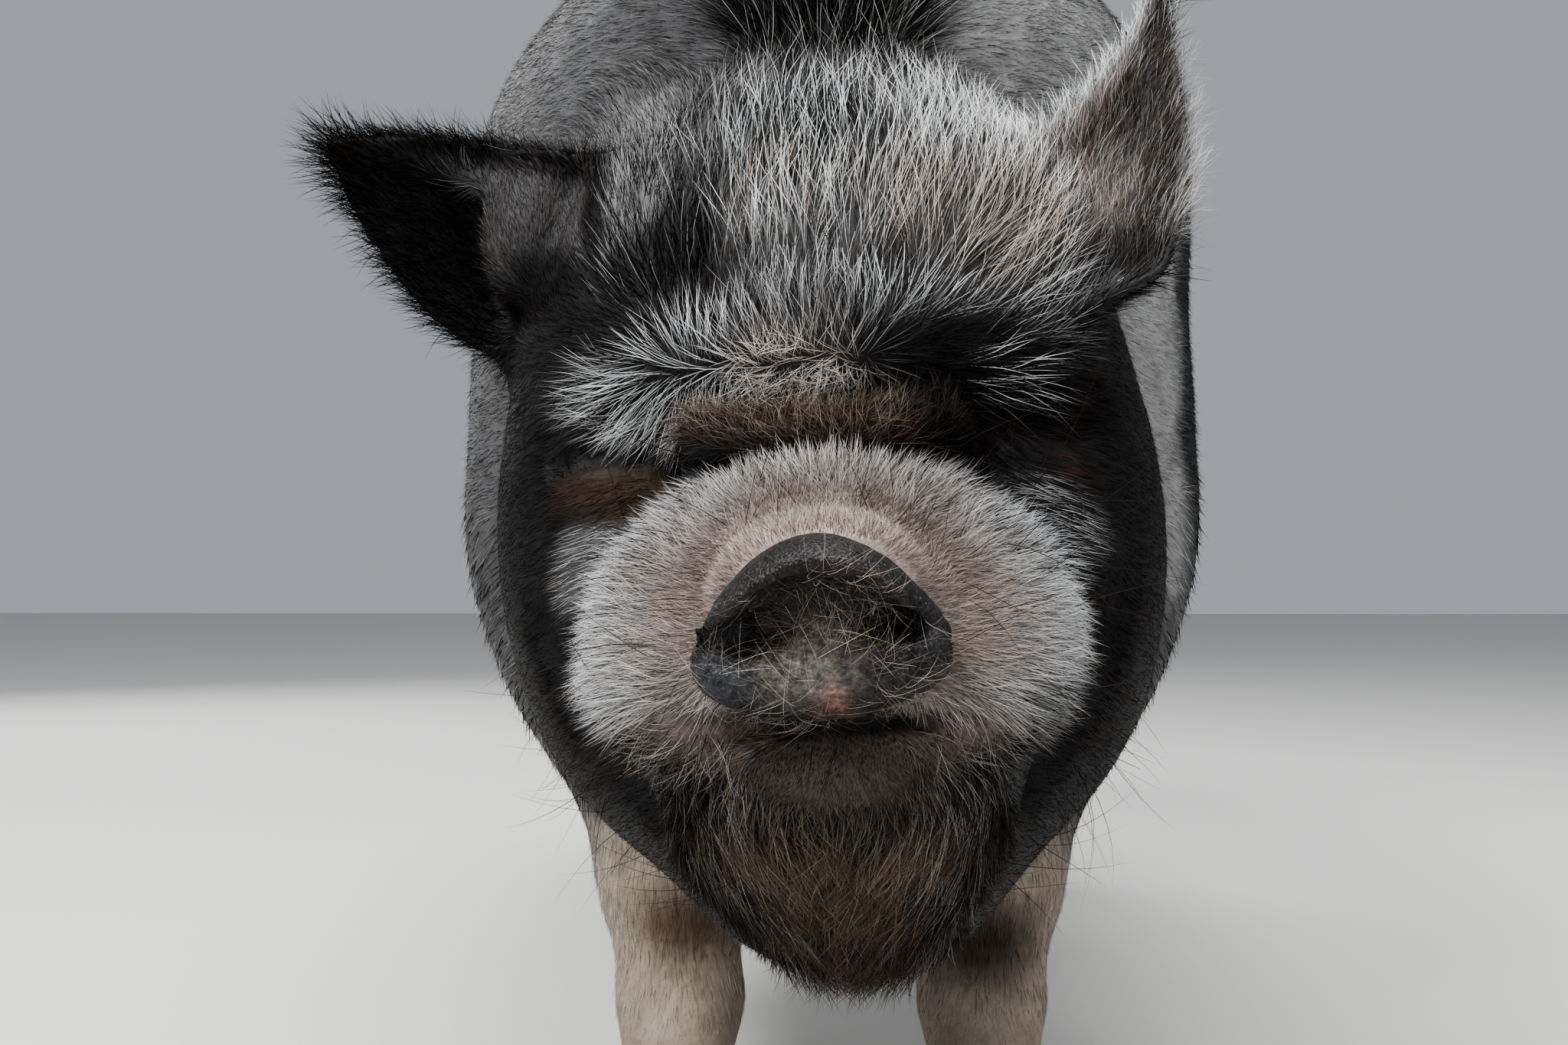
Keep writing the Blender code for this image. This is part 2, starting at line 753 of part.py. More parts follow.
def make_snout():
    """The rooting disc with its nostrils."""
    cage = bmesh.new()
    bmesh.ops.create_icosphere(cage, subdivisions=3, radius=1)
    across, up, out = (Vector(axis) for axis in snout_axes())
    half_wide, half_high, half_thick = SNOUT_HALF
    for vertex in cage.verts:
        place = (across * vertex.co.x * half_wide + up * vertex.co.y * half_high
                 + out * vertex.co.z * half_thick)
        vertex.co = posed_point(Vector(SNOUT_CENTRE) + place)
    disc = linked_cage("snout_disc", cage)
    remesh = disc.modifiers.new("Fine", "REMESH")
    remesh.mode = "VOXEL"
    remesh.voxel_size = SNOUT_VOXEL
    applied(disc)
    settle(disc.data, posed_disc, rounds=6, reach=0.003)
    return largest(thinned(disc, SNOUT_FACES))


def make_body():
    """Neck, trunk and legs as one mesh, behind the head."""
    body = fused("body", TRUNK + NECK + LEGS, HEAD, BODY_VOXEL)
    settle(body.data, flesh, only=lambda points: points[:, 1] > BODY_START)
    thinned(body, BODY_FACES)
    return largest(cut(body, half_space(HEAD_CUT, ahead=True, shift=-GAP / 2)))


def make_legs(body):
    """Parts the four legs from the body, each flat where it stands on its hoof."""
    legs = {}
    for kind in FEET:
        for word, side in SIDES.items():
            leg = copied(body)
            cut(leg, leg_region(kind, side, 0), "INTERSECT")
            cut(body, leg_region(kind, side, GAP))
            floor = bmesh.new()
            bmesh.ops.create_cube(floor, size=1)
            bmesh.ops.translate(floor, vec=(0, 0, HOOF_HEIGHT + GAP - 0.5), verts=floor.verts)
            cut(leg, linked_cage("hoof space", floor))
            leg.name = f"{kind}leg_{word}"
            legs[leg.name] = largest(leg)
    return legs


def claw_outline(inner):
    """Points round one claw's sole, heel first, seen from above, with the cleft at x = 0."""
    half_wide, half_long = CLAW_HALF
    points = []
    for step in range(CLAW_POINTS):
        angle = 2 * math.pi * step / CLAW_POINTS
        x = half_wide * math.sin(angle)
        y = half_long * math.cos(angle)
        if y < 0:
            x = x * (1 + CLAW_NARROWING * y / half_long) - inner * CLAW_TOE_IN * y / half_long
        points.append((x, y))
    return points


def make_claw(name, x, y, inner):
    """One claw of a hoof: a loft from the flat sole up to the smaller crown."""
    cage = bmesh.new()
    rings = []
    for height, size, back in CLAW_LEVELS:
        ring = []
        for along, across in claw_outline(inner):
            ring.append(cage.verts.new((x + along * size, y + across * size + back, height)))
        rings.append(ring)
    for low, high in zip(rings, rings[1:]):
        for i in range(len(low)):
            j = (i + 1) % len(low)
            cage.faces.new((low[i], low[j], high[j], high[i]))
    cage.faces.new(rings[0])
    cage.faces.new(rings[-1])
    bmesh.ops.recalc_face_normals(cage, faces=cage.faces)
    return linked_cage(name, cage)


def make_dewclaw(name, x, y, leg):
    """A small horn behind the foot, cut clear of the leg."""
    cage = bmesh.new()
    root, tip = DEWCLAW_RADII
    bmesh.ops.create_cone(cage, cap_ends=True, segments=DEWCLAW_SIDES, radius1=root, radius2=tip,
                          depth=DEWCLAW_LENGTH)
    lean = Vector(DEWCLAW_LEAN).to_track_quat("Z", "Y").to_matrix().to_4x4()
    place = Matrix.Translation((x, y, DEWCLAW_PLACE[2])) @ lean
    bmesh.ops.transform(cage, matrix=place, verts=cage.verts)
    claw = linked_cage(name, cage)
    return largest(cut(claw, copied(leg, HORN_GAP)))


def make_feet(legs):
    feet = {}
    for kind, sizes in FEET.items():
        toe_x, toe_y = sizes["toe"]
        for word, side in SIDES.items():
            for place, turn in (("outer", 1), ("inner", -1)):
                x = side * toe_x + side * turn * (CLAW_HALF[0] + CLEFT / 2)
                name = f"{kind}claw_{place}_{word}"
                feet[name] = make_claw(name, x, toe_y, side * turn)
                aside, behind, _ = DEWCLAW_PLACE
                x = side * toe_x + side * turn * aside
                name = f"{kind}dewclaw_{place}_{word}"
                feet[name] = make_dewclaw(name, x, toe_y + behind, legs[f"{kind}leg_{word}"])
    return feet


def ear_place(ear, share, turn):
    """A place on the middle surface of an ear: `share` along it, `turn` from edge to edge."""
    root = Vector(ear.root)
    length = (Vector(ear.tip) - root).length
    along = (Vector(ear.tip) - root).normalized()
    facing = Vector(ear.facing)
    facing = (facing - along * facing.dot(along)).normalized()
    across = along.cross(facing)
    full = max(share, 0.0)
    narrow = (1 - full ** ear.taper[0]) ** ear.taper[1]
    half_wide = 0.5 * ear.width * narrow * (EAR_SWELL[0] + EAR_SWELL[1] * full) + EAR_LEAST_HALF
    spread = ear.cup * (1 - EAR_UNCUPPING * full)
    radius = half_wide / max(math.sin(min(spread, math.pi / 2)), LEAST_SINE)
    out = radius * math.sin(spread * turn) + ear.sway * math.sin(math.pi * full)
    deep = radius * (math.cos(spread * turn) - math.cos(spread * EAR_LEVEL))
    bend = ear.curl * length * full ** 2
    return root + along * (share * length) + across * out - facing * (deep - bend)


def make_ear(word, head, neck):
    """A cupped leaf with a wall, its root cut clear of the head."""
    rows, columns = EAR_GRID
    cage = bmesh.new()
    grid = []
    for i in range(rows + 1):
        share = -EAR_SUNK + (1 + EAR_SUNK) * i / rows
        grid.append([cage.verts.new(ear_place(EARS[word], share, 2 * j / columns - 1))
                     for j in range(columns + 1)])
    for low, high in zip(grid, grid[1:]):
        for j in range(columns):
            cage.faces.new((low[j], low[j + 1], high[j + 1], high[j]))
    leaf = linked_cage(f"ear_{word}", cage)
    wall = leaf.modifiers.new("Wall", "SOLIDIFY")
    wall.thickness = EAR_THICK
    wall.offset = 0
    applied(leaf)
    cage = bmesh.new()
    cage.from_mesh(leaf.data)
    bmesh.ops.triangulate(cage, faces=cage.faces)
    bmesh.ops.recalc_face_normals(cage, faces=cage.faces)
    cage.to_mesh(leaf.data)
    cage.free()
    for piece in (head, neck):
        cut(leaf, copied(piece, EAR_GAP), solver="MANIFOLD")
    return largest(leaf)


def make_tail(torso):
    """A straight hanging tail, cut clear of the rump."""
    curve = bpy.data.curves.new("tail", "CURVE")
    curve.dimensions = "3D"
    curve.bevel_depth = 1.0
    curve.bevel_resolution = 2
    curve.use_fill_caps = True
    spline = curve.splines.new("POLY")
    spline.points.add(len(TAIL_ROUTE) - 1)
    for point, place, radius in zip(spline.points, TAIL_ROUTE, TAIL_RADII):
        point.co = (*place, 1)
        point.radius = radius
    line = linked("tail line", curve)
    graph = bpy.context.evaluated_depsgraph_get()
    mesh = bpy.data.meshes.new_from_object(line.evaluated_get(graph))
    bpy.data.objects.remove(line, do_unlink=True)
    cage = bmesh.new()
    cage.from_mesh(mesh)
    bmesh.ops.remove_doubles(cage, verts=cage.verts, dist=1e-5)
    bmesh.ops.triangulate(cage, faces=cage.faces)
    bmesh.ops.recalc_face_normals(cage, faces=cage.faces)
    tail = linked_cage("tail", cage)
    return largest(cut(tail, copied(torso, SOFT_GAP)))


def finish(name, colour, roughness):
    """A plain material in the piece's colour."""
    material = bpy.data.materials.new(name)
    material.use_nodes = True
    shader = material.node_tree.nodes["Principled BSDF"]
    shader.inputs["Base Color"].default_value = (*colour, 1)
    shader.inputs["Roughness"].default_value = roughness
    return material


def clear_scene():
    for obj in list(bpy.data.objects):
        bpy.data.objects.remove(obj, do_unlink=True)


def centred(pieces):
    """Sets the middle of the whole animal's box over the origin."""
    low = np.min([vertices_of(obj.data).min(axis=0) for obj in pieces], axis=0)
    high = np.max([vertices_of(obj.data).max(axis=0) for obj in pieces], axis=0)
    middle = (low + high) / 2
    for obj in pieces:
        obj.data.transform(Matrix.Translation((-middle[0], -middle[1], 0)))


def main():
    clear_scene()
    head = make_head()
    snout = make_snout()
    cut(head, copied(snout, HORN_GAP))
    jaw = copied(head)
    cut(jaw, jaw_region(0), "INTERSECT")
    jaw.name = "lower_jaw"
    cut(head, jaw_region(GAP))
    grown(largest(head), face_locks())
    cut(head, copied(largest(jaw), HORN_GAP), solver="MANIFOLD")
    eyes = []
    for word, side in SIDES.items():
        eye = eye_ball(side, EYE_RADIUS)
        eye.name = f"eye_{word}"
        eyes.append(eye)
        cut(head, eye_ball(side, EYE_RADIUS + EYE_GAP), solver="MANIFOLD")
        cut(head, eye_slit(side), solver="MANIFOLD")
    largest(head)
    body = make_body()
    legs = make_legs(body)
    neck = copied(body)
    neck.name = "neck"
    largest(cut(neck, half_space(NECK_CUT, ahead=False, shift=-GAP / 2)))
    torso = body
    torso.name = "torso"
    largest(cut(torso, half_space(NECK_CUT, ahead=True, shift=-GAP / 2)))
    grown(torso, crest_locks(-0.150, 1.0))
    grown(neck, crest_locks(-0.285, -0.180))
    largest(cut(neck, copied(torso, SOFT_GAP)))
    ears = [make_ear(word, head, neck) for word in EARS]
    feet = make_feet(legs)
    tail = grown(make_tail(torso), switch_locks())
    hide = finish("hide", (0.10, 0.09, 0.085), 0.7)
    snout_skin = finish("snout skin", (0.06, 0.05, 0.05), 0.45)
    horn = finish("hoof horn", (0.16, 0.13, 0.10), 0.5)
    eye_finish = finish("eye", (0.02, 0.012, 0.008), 0.05)
    groups = (
        (hide, [head, jaw, neck, torso, tail, *ears, *legs.values()]),
        (snout_skin, [snout]),
        (horn, list(feet.values())),
        (eye_finish, eyes),
    )
    pieces = []
    for material, members in groups:
        for obj in members:
            obj.data.materials.clear()
            obj.data.materials.append(material)
            obj.data.shade_smooth()
            obj.data.set_sharp_from_angle(angle=SHARP)
            pieces.append(obj)
    centred(pieces)


if __name__ in ("__main__", "part"):
    main()
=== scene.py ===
"""Looks of the life-size Vietnamese pot-bellied pig.

One skin is settled on the smooth union of the animal's masses, and bristles are grown on it
zone by zone. The rooting disc, the eyes and the horn of the feet are pieces of their own.
Everything is in metres, -Y is forward, +X is the pig's left and the floor is at Z = 0.
"""

import json
import logging
import math
from dataclasses import dataclass
from enum import Enum
from typing import Callable, Iterator, Optional

import bmesh
import bpy
import numpy as np
from bpy.types import Collection, Material, Mesh, Node, NodeSocket, NodeTree, Object
from mathutils import Matrix, Vector
from mathutils.bvhtree import BVHTree

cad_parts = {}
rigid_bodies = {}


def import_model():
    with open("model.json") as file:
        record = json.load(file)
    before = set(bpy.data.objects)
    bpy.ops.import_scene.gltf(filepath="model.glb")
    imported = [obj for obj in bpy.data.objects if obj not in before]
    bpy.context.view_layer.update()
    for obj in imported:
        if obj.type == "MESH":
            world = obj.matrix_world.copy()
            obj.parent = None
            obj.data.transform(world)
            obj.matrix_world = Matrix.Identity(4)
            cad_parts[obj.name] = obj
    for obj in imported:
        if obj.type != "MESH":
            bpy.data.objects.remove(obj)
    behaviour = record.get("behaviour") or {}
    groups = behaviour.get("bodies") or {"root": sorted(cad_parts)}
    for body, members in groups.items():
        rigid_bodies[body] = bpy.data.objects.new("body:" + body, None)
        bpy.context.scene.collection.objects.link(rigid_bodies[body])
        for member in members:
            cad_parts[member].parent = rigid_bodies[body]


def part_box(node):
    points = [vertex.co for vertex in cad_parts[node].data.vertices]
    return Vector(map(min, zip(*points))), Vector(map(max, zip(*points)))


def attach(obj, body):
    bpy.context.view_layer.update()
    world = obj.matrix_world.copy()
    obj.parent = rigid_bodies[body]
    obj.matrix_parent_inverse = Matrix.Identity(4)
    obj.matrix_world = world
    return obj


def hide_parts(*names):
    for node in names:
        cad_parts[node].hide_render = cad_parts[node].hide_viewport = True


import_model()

log = logging.getLogger("pig")

Triple = tuple[float, float, float]
Array = np.ndarray
Cage = bmesh.types.BMesh
Field = Callable[[Array], Array]

BODY = "root"
BAKE_MAP = "OFBake"
PATCH = 0.003
SIDES = {"left": 1.0, "right": -1.0}
COAT_SEED, FEELER_SEED, SNOUT_SEED = 10, 40, 60


class Tone(Enum):
    """Colours of hide and hair, as linear red, green and blue."""

    WHITE = (0.86, 0.875, 0.885)
    CREAM = (0.66, 0.59, 0.53)
    SILVER = (0.42, 0.41, 0.39)
    GREY = (0.15, 0.148, 0.15)
    SLATE = (0.05, 0.049, 0.051)
    BLACK = (0.008, 0.0075, 0.008)
    BROWN = (0.105, 0.07, 0.046)
    UMBER = (0.03, 0.019, 0.013)
    DUN = (0.25, 0.21, 0.165)
    TAUPE = (0.15, 0.122, 0.105)
    FAWN = (0.56, 0.465, 0.41)
    RUST = (0.16, 0.062, 0.027)
    PINK = (0.36, 0.28, 0.245)
    MAUVE = (0.12, 0.088, 0.082)
    ASH = (0.235, 0.235, 0.235)
    SOIL = (0.062, 0.053, 0.043)
    DUSK = (0.085, 0.085, 0.088)


(WHITE, CREAM, SILVER, GREY, SLATE, BLACK, BROWN, UMBER, DUN, TAUPE, FAWN, RUST, PINK, MAUVE, ASH,
 SOIL, DUSK) = Tone

LATTICE_PRIMES = np.array((73856093, 19349663, 83492791))
SEED_PRIME = 26544357
MIXER = 1274126
CELLS = 0x3FF
BITS_28 = 0xFFFFFFF
BITS_16 = 0xFFFF


def lattice_noise(points: Array, size: float, seed: int = 0) -> Array:
    """Smooth noise over space.

    Args:
        points: Places, one row each.
        size: Width of one swell, in metres.
        seed: Changes the pattern.

    Returns:
        One value from -1 to 1 for each place.
    """
    scaled = points / size
    base = np.floor(scaled).astype(np.int64)
    part = scaled - base
    part = part * part * (3 - 2 * part)
    total = np.zeros(len(points))
    for corner in np.ndindex(2, 2, 2):
        cell = (base + corner) & CELLS
        key = np.bitwise_xor.reduce(cell * LATTICE_PRIMES, axis=1) ^ seed * SEED_PRIME
        key = key & BITS_28
        key = (key ^ (key >> 13)) * MIXER & BITS_28
        value = ((key ^ (key >> 11)) & BITS_16) / (BITS_16 / 2) - 1
        weight = np.prod(np.where(np.array(corner), part, 1 - part), axis=1)
        total += value * weight
    return total


def lengths(rows: Array) -> Array:
    """Length of each row."""
    return np.sqrt(np.einsum("ij,ij->i", rows, rows))


def smooth_step(values: Array, low: float, high: float) -> Array:
    """Goes from 0 at `low` to 1 at `high` with a soft start and end."""
    share = np.clip((values - low) / (high - low), 0, 1)
    return share * share * (3 - 2 * share)


def on_segment(points: Array, first: Triple, last: Triple) -> tuple[Array, Array]:
    """How far along a segment the place nearest to each point is, and the offset from it.

    Args:
        points: Places, one row each.
        first: Start of the segment.
        last: Its end.

    Returns:
        Share along the segment and offset from it, one row for each point.
    """
    start, end = np.array(first), np.array(last)
    along = end - start
    share = np.clip((points - start) @ along / max(along @ along, 1e-9), 0, 1)
    return share, points - start - share[:, None] * along


@dataclass(frozen=True)
class Mass:
    """An ellipsoid of flesh, which may stand on both sides of the midline."""

    centre: Triple
    radii: Triple
    blend: float
    paired: bool = False

    def distance(self, points: Array) -> Array:
        """Distance from each point to the surface, negative inside.

        Args:
            points: Places, one row each.

        Returns:
            One distance for each point.
        """
        offset = points - np.array(self.centre)
        radii = np.array(self.radii)
        near = lengths(offset / radii)
        steep = lengths(offset / radii ** 2)
        return near * (near - 1) / np.maximum(steep, 1e-9)

    def twin(self) -> "Mass":
        """The same mass on the other side."""
        x, y, z = self.centre
        return Mass((-x, y, z), self.radii, self.blend)

    def balls(self) -> Iterator[tuple[Triple, Triple]]:
        """The centre and radii of the one ball that fills it."""
        yield self.centre, self.radii


@dataclass(frozen=True)
class Limb:
    """A round cone of flesh between two points, which may stand on both sides."""

    start: Triple
    end: Triple
    start_radius: float
    end_radius: float
    blend: float
    paired: bool = False

    def distance(self, points: Array) -> Array:
        """Distance from each point to the surface, negative inside."""
        share, offset = on_segment(points, self.start, self.end)
        return lengths(offset) - self.radius(share)

    def radius(self, share: Array | float) -> Array | float:
        """The radius at a share of the way from start to end."""
        return self.start_radius + (self.end_radius - self.start_radius) * share

    def twin(self) -> "Limb":
        """The same limb on the other side."""
        start, end = ((-p[0], p[1], p[2]) for p in (self.start, self.end))
        return Limb(start, end, self.start_radius, self.end_radius, self.blend)

    def balls(self) -> Iterator[tuple[Triple, Triple]]:
        """Centres and radii of the balls that fill it."""
        count = 7
        for step in range(count):
            share = step / (count - 1)
            place = Vector(self.start).lerp(Vector(self.end), share)
            yield tuple(place), (self.radius(share),) * 3


Form = Mass | Limb


def both_sides(forms: tuple[Form, ...]) -> Iterator[Form]:
    """The forms in order, each paired one followed by its twin."""
    for form in forms:
        yield form
        if form.paired:
            yield form.twin()


def joined(first: Array, second: Array, blend: float) -> Array:
    """Smooth union of two distances, which fills the corner over the width `blend`."""
    near = np.maximum(blend - np.abs(first - second), 0) / blend
    return np.minimum(first, second) - near * near * blend / 4


def union_of(points: Array, forms: tuple[Form, ...]) -> Array:
    """Smooth union of all the forms at each point.

    Args:
        points: Places, one row each.
        forms: The forms to join.

    Returns:
        One distance for each point.
    """
    whole = None
    for form in both_sides(forms):
        found = form.distance(points)
        whole = found if whole is None else joined(whole, found, form.blend)
    return whole


@dataclass(frozen=True)
class Fold:
    """A crease along a route on both sides, or a raised fold where its depth is below zero."""

    route: tuple[Triple, ...]
    depth: float
    half_width: float

    def drawn_in(self, points: Array) -> Array:
        """How far the surface is drawn in at each point.

        Args:
            points: Places in the frame of the square head.

        Returns:
            One depth for each point.
        """
        mirrored = np.column_stack((np.abs(points[:, 0]), points[:, 1:]))
        nearest = np.full(len(points), np.inf)
        for first, last in zip(self.route, self.route[1:]):
            nearest = np.minimum(nearest, lengths(on_segment(mirrored, first, last)[1]))
        return self.depth * np.exp(-(nearest / self.half_width) ** 2)


@dataclass(frozen=True)
class HeadPose:
    """How the head leans and turns about the base of the skull."""

    pivot: Triple = (0.0, -0.36, 0.265)
    lean: float = math.radians(4.5)
    turn: float = math.radians(2.0)

    def matrix(self) -> Array:
        """Rotation that carries the square head to its pose."""
        lean = Matrix.Rotation(-self.lean, 3, "Y")
        turn = Matrix.Rotation(-self.turn, 3, "Z")
        return np.array(turn @ lean)

    def squared(self, points: Array) -> Array:
        """Points of the posed animal in the frame of its square head."""
        return (points - np.array(self.pivot)) @ self.matrix() + np.array(self.pivot)

    def posed(self, points: Array) -> Array:
        """Points of the square head where the pose puts them."""
        return (points - np.array(self.pivot)) @ self.matrix().T + np.array(self.pivot)

    def place(self, point: Triple) -> Vector:
        """One point of the square head where the pose puts it."""
        return Vector(self.posed(np.array(point, float)[None])[0])


POSE = HeadPose()
EYE_CENTRE = (0.064, -0.45, 0.274)
EYE_RADIUS = 0.0115
LID_RADIUS = 0.015


def eye_centre(side: float) -> Triple:
    """Where one eye is in the square head."""
    return side * EYE_CENTRE[0], EYE_CENTRE[1], EYE_CENTRE[2]


def frame_shift() -> Vector:
    """How far the frame moved the animal from the coordinates of its named sizes."""
    found = Vector((0, 0, 0))
    for word, side in SIDES.items():
        low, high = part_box(f"eye_{word}")
        found += (Vector(low) + Vector(high)) / 2 - POSE.place(eye_centre(side))
    return found / 2


SHIFT = frame_shift()


@dataclass(frozen=True)
class Ear:
    """A cupped, pointed leaf. `facing` is the way that its hollow opens."""

    root: Triple
    tip: Triple
    facing: Triple
    width: float
    cup: float
    curl: float
    taper: tuple[float, float]
    sway: float
    sunk: float = 0.16
    root_half: float = 0.0036
    rim_half: float = 0.0011
    root_pinch: float = 3.5
    root_share: float = 0.8
    flare: float = 0.55
    edge: float = 0.0012
    opening: float = 0.62
    cup_level: float = 0.7
    rows: int = 40
    columns: int = 32

    def axes(self) -> tuple[Vector, Vector, Vector]:
        """Unit vectors along the ear, across it and out of its hollow."""
        along = (Vector(self.tip) - Vector(self.root)).normalized()
        facing = Vector(self.facing)
        facing = (facing - along * facing.dot(along)).normalized()
        return along, along.cross(facing), facing

    def surface(self, share: float, turn: float) -> Vector:
        """A place on the middle surface of the leaf.

        Args:
            share: 0 at the root and 1 at the tip, below 0 inside the head.
            turn: -1 at one edge and 1 at the other.

        Returns:
            The place in the posed animal.
        """
        along, across, facing = self.axes()
        length = (Vector(self.tip) - Vector(self.root)).length
        full = max(share, 0.0)
        narrow = (1 - full ** self.taper[0]) ** self.taper[1]
        narrow = narrow * (1 + self.root_pinch * min(share, 0.0))
        half_wide = 0.5 * self.width * narrow * (self.root_share + self.flare * full) + self.edge
        spread = self.cup * (1 - self.opening * full)
        radius = half_wide / max(math.sin(min(spread, math.pi / 2)), 0.3)
        deep = radius * (math.cos(spread * turn) - math.cos(spread * self.cup_level))
        bend = self.curl * length * full ** 2
        aside = radius * math.sin(spread * turn) + self.sway * math.sin(math.pi * full)
        middle = Vector(self.root) + along * (share * length)
        return middle + across * aside - facing * (deep - bend)

    def grid(self) -> list[list[Vector]]:
        """Rows of places on the middle surface, root first."""
        shares = [-self.sunk + (1 + self.sunk) * i / self.rows for i in range(self.rows + 1)]
        turns = [2 * j / self.columns - 1 for j in range(self.columns + 1)]
        return [[self.surface(share, turn) for turn in turns] for share in shares]


EARS = {
    "left": Ear((0.0782, -0.438, 0.3508), (0.1255, -0.4, 0.4586), (-0.36, -0.93, 0.1),
                0.112, 1.1, 0.06, (1.0, 1.6), 0.01),
    "right": Ear((-0.088, -0.4, 0.352), (-0.188, -0.41, 0.4), (0.2, -0.93, -0.3),
                 0.098, 1.4, 0.06, (1.25, 0.95), -0.006),
}


class EarShape:
    """Distance to one ear, and where along and across it a point lies."""

    margin = 0.03
    worn_gap = (0.006, 0.014)
    worn_share = (0.02, 0.18)

    def __init__(self, ear: Ear) -> None:
        """Lays out the leaf and sorts its faces for quick finding.

        Args:
            ear: The leaf's sizes.
        """
        self.ear = ear
        grid = ear.grid()
        self.width = len(grid[0])
        places = [place for row in grid for place in row]
        faces = []
        for i in range(len(grid) - 1):
            for j in range(self.width - 1):
                first = i * self.width + j
                faces.append((first, first + 1, first + self.width + 1, first + self.width))
        self.places, self.faces = places, faces
        self.tree = BVHTree.FromPolygons(places, faces)
        cloud = np.array(places)
        self.low = cloud.min(axis=0) - self.margin
        self.high = cloud.max(axis=0) + self.margin

    def found(self, points: Array) -> tuple[Array, Array, Array]:
        """Distance to the middle surface, share along the ear and turn across it.

        Args:
            points: Places in the posed animal.

        Returns:
            One row of each for every point, the margin and zeros where it is far away.
        """
        inside = np.all((points > self.low) & (points < self.high), axis=1)
        gap = np.full(len(points), self.margin)
        share, turn = np.zeros(len(points)), np.zeros(len(points))
        columns = self.width - 1
        for index in np.flatnonzero(inside):
            _, _, face, length = self.tree.find_nearest(Vector(points[index]))
            gap[index] = length
            share[index] = -self.ear.sunk + (1 + self.ear.sunk) * (face // columns) / self.ear.rows
            turn[index] = 2 * (face % columns + 0.5) / columns - 1
        return gap, share, turn

    def worn(self, points: Array) -> tuple[Array, Array, Array]:
        """How far each point is the ear's, from 0 to 1, with its share along and turn across."""
        gap, share, turn = self.found(points)
        worn = (1 - smooth_step(gap, *self.worn_gap)) * smooth_step(share, *self.worn_share)
        return worn, share, turn

    def distance(self, points: Array) -> Array:
        """Distance to the ear's skin, thick at the root and thin at the rim."""
        gap, share, turn = self.found(points)
        body = (1 - np.clip(share, 0, 1)) * (1 - turn ** 2)
        return gap - (self.ear.rim_half + (self.ear.root_half - self.ear.rim_half) * body)

    def cage(self, thickness: float) -> Object:
        """The leaf as a closed wall, for the remesh.

        Args:
            thickness: Of the wall.

        Returns:
            The wall as an object.
        """
        mesh = bpy.data.meshes.new("ear cage")
        mesh.from_pydata([tuple(place) for place in self.places], [], self.faces)
        leaf = linked("ear cage", mesh)
        wall = leaf.modifiers.new("Wall", "SOLIDIFY")
        wall.thickness = thickness
        wall.offset = 0
        return applied(leaf)


def linked(name: str, mesh: Mesh) -> Object:
    """A new object in the scene with this mesh."""
    made = bpy.data.objects.new(name, mesh)
    bpy.context.scene.collection.objects.link(made)
    return made


def linked_cage(name: str, cage: Cage) -> Object:
    """A new object in the scene made from a cage, which is freed."""
    mesh = bpy.data.meshes.new(name)
    cage.to_mesh(mesh)
    cage.free()
    return linked(name, mesh)


def applied(piece: Object) -> Object:
    """The object with its modifiers made real."""
    graph = bpy.context.evaluated_depsgraph_get()
    mesh = bpy.data.meshes.new_from_object(piece.evaluated_get(graph))
    piece.modifiers.clear()
    piece.data = mesh
    return piece


def remeshed(piece: Object, voxel: float) -> Object:
    """The object as one even closed surface."""
    remesh = piece.modifiers.new("Fuse", "REMESH")
    remesh.mode = "VOXEL"
    remesh.voxel_size = voxel
    return applied(piece)


def placed(piece: Object) -> Object:
    """The object moved to the frame's place and shaded smooth."""
    piece.data.transform(Matrix.Translation(SHIFT))
    piece.data.shade_smooth()
    return piece


def lofted(cage: Cage, rings: list[list[bmesh.types.BMVert]]) -> None:
    """Joins each ring of vertices to the next, of which the last may be a single point.

    Args:
        cage: Takes the new faces.
        rings: Its vertices, ring by ring.
    """
    for low, high in zip(rings, rings[1:]):
        for i in range(len(low)):
            j = (i + 1) % len(low)
            upper = (high[j], high[i]) if len(high) > 1 else (high[0],)
            cage.faces.new((low[i], low[j], *upper))


class Layer(Enum):
    """Kinds of attribute: Blender's type, the name of its values and their number type."""

    COLOUR = ("FLOAT_COLOR", "color", np.float32)
    NUMBER = ("FLOAT", "value", np.float32)
    VECTOR = ("FLOAT_VECTOR", "vector", np.float32)
    INDEX = ("INT", "value", np.int32)


def store(mesh: Mesh, name: str, layer: Layer, rows: Array, domain: str = "POINT") -> None:
    """Stores a row of values for each point, corner or face of a mesh.

    Args:
        mesh: Takes the attribute.
        name: What it is called.
        layer: Its kind.
        rows: Its values.
        domain: POINT, CORNER or FACE.
    """
    kind, key, number = layer.value
    if layer is Layer.COLOUR:
        rows = np.column_stack((rows, np.ones(len(rows))))
    found = mesh.attributes.get(name) or mesh.attributes.new(name, kind, domain)
    found.data.foreach_set(key, rows.astype(number).ravel())


def read(items: bpy.types.bpy_prop_collection, key: str, width: int = 1,
         number: type = np.int32) -> Array:
    """Values of a mesh's vertices, edges, corners or faces, one row each.

    Args:
        items: The mesh's collection.
        key: Name of the value.
        width: How many numbers it has.
        number: Their type.

    Returns:
        The values.
    """
    values = np.empty(len(items) * width, number)
    items.foreach_get(key, values)
    return values.reshape(-1, width) if width > 1 else values


def vertices_of(mesh: Mesh) -> Array:
    """The mesh's vertices, one row each."""
    return read(mesh.vertices, "co", 3, np.float32).astype(float)


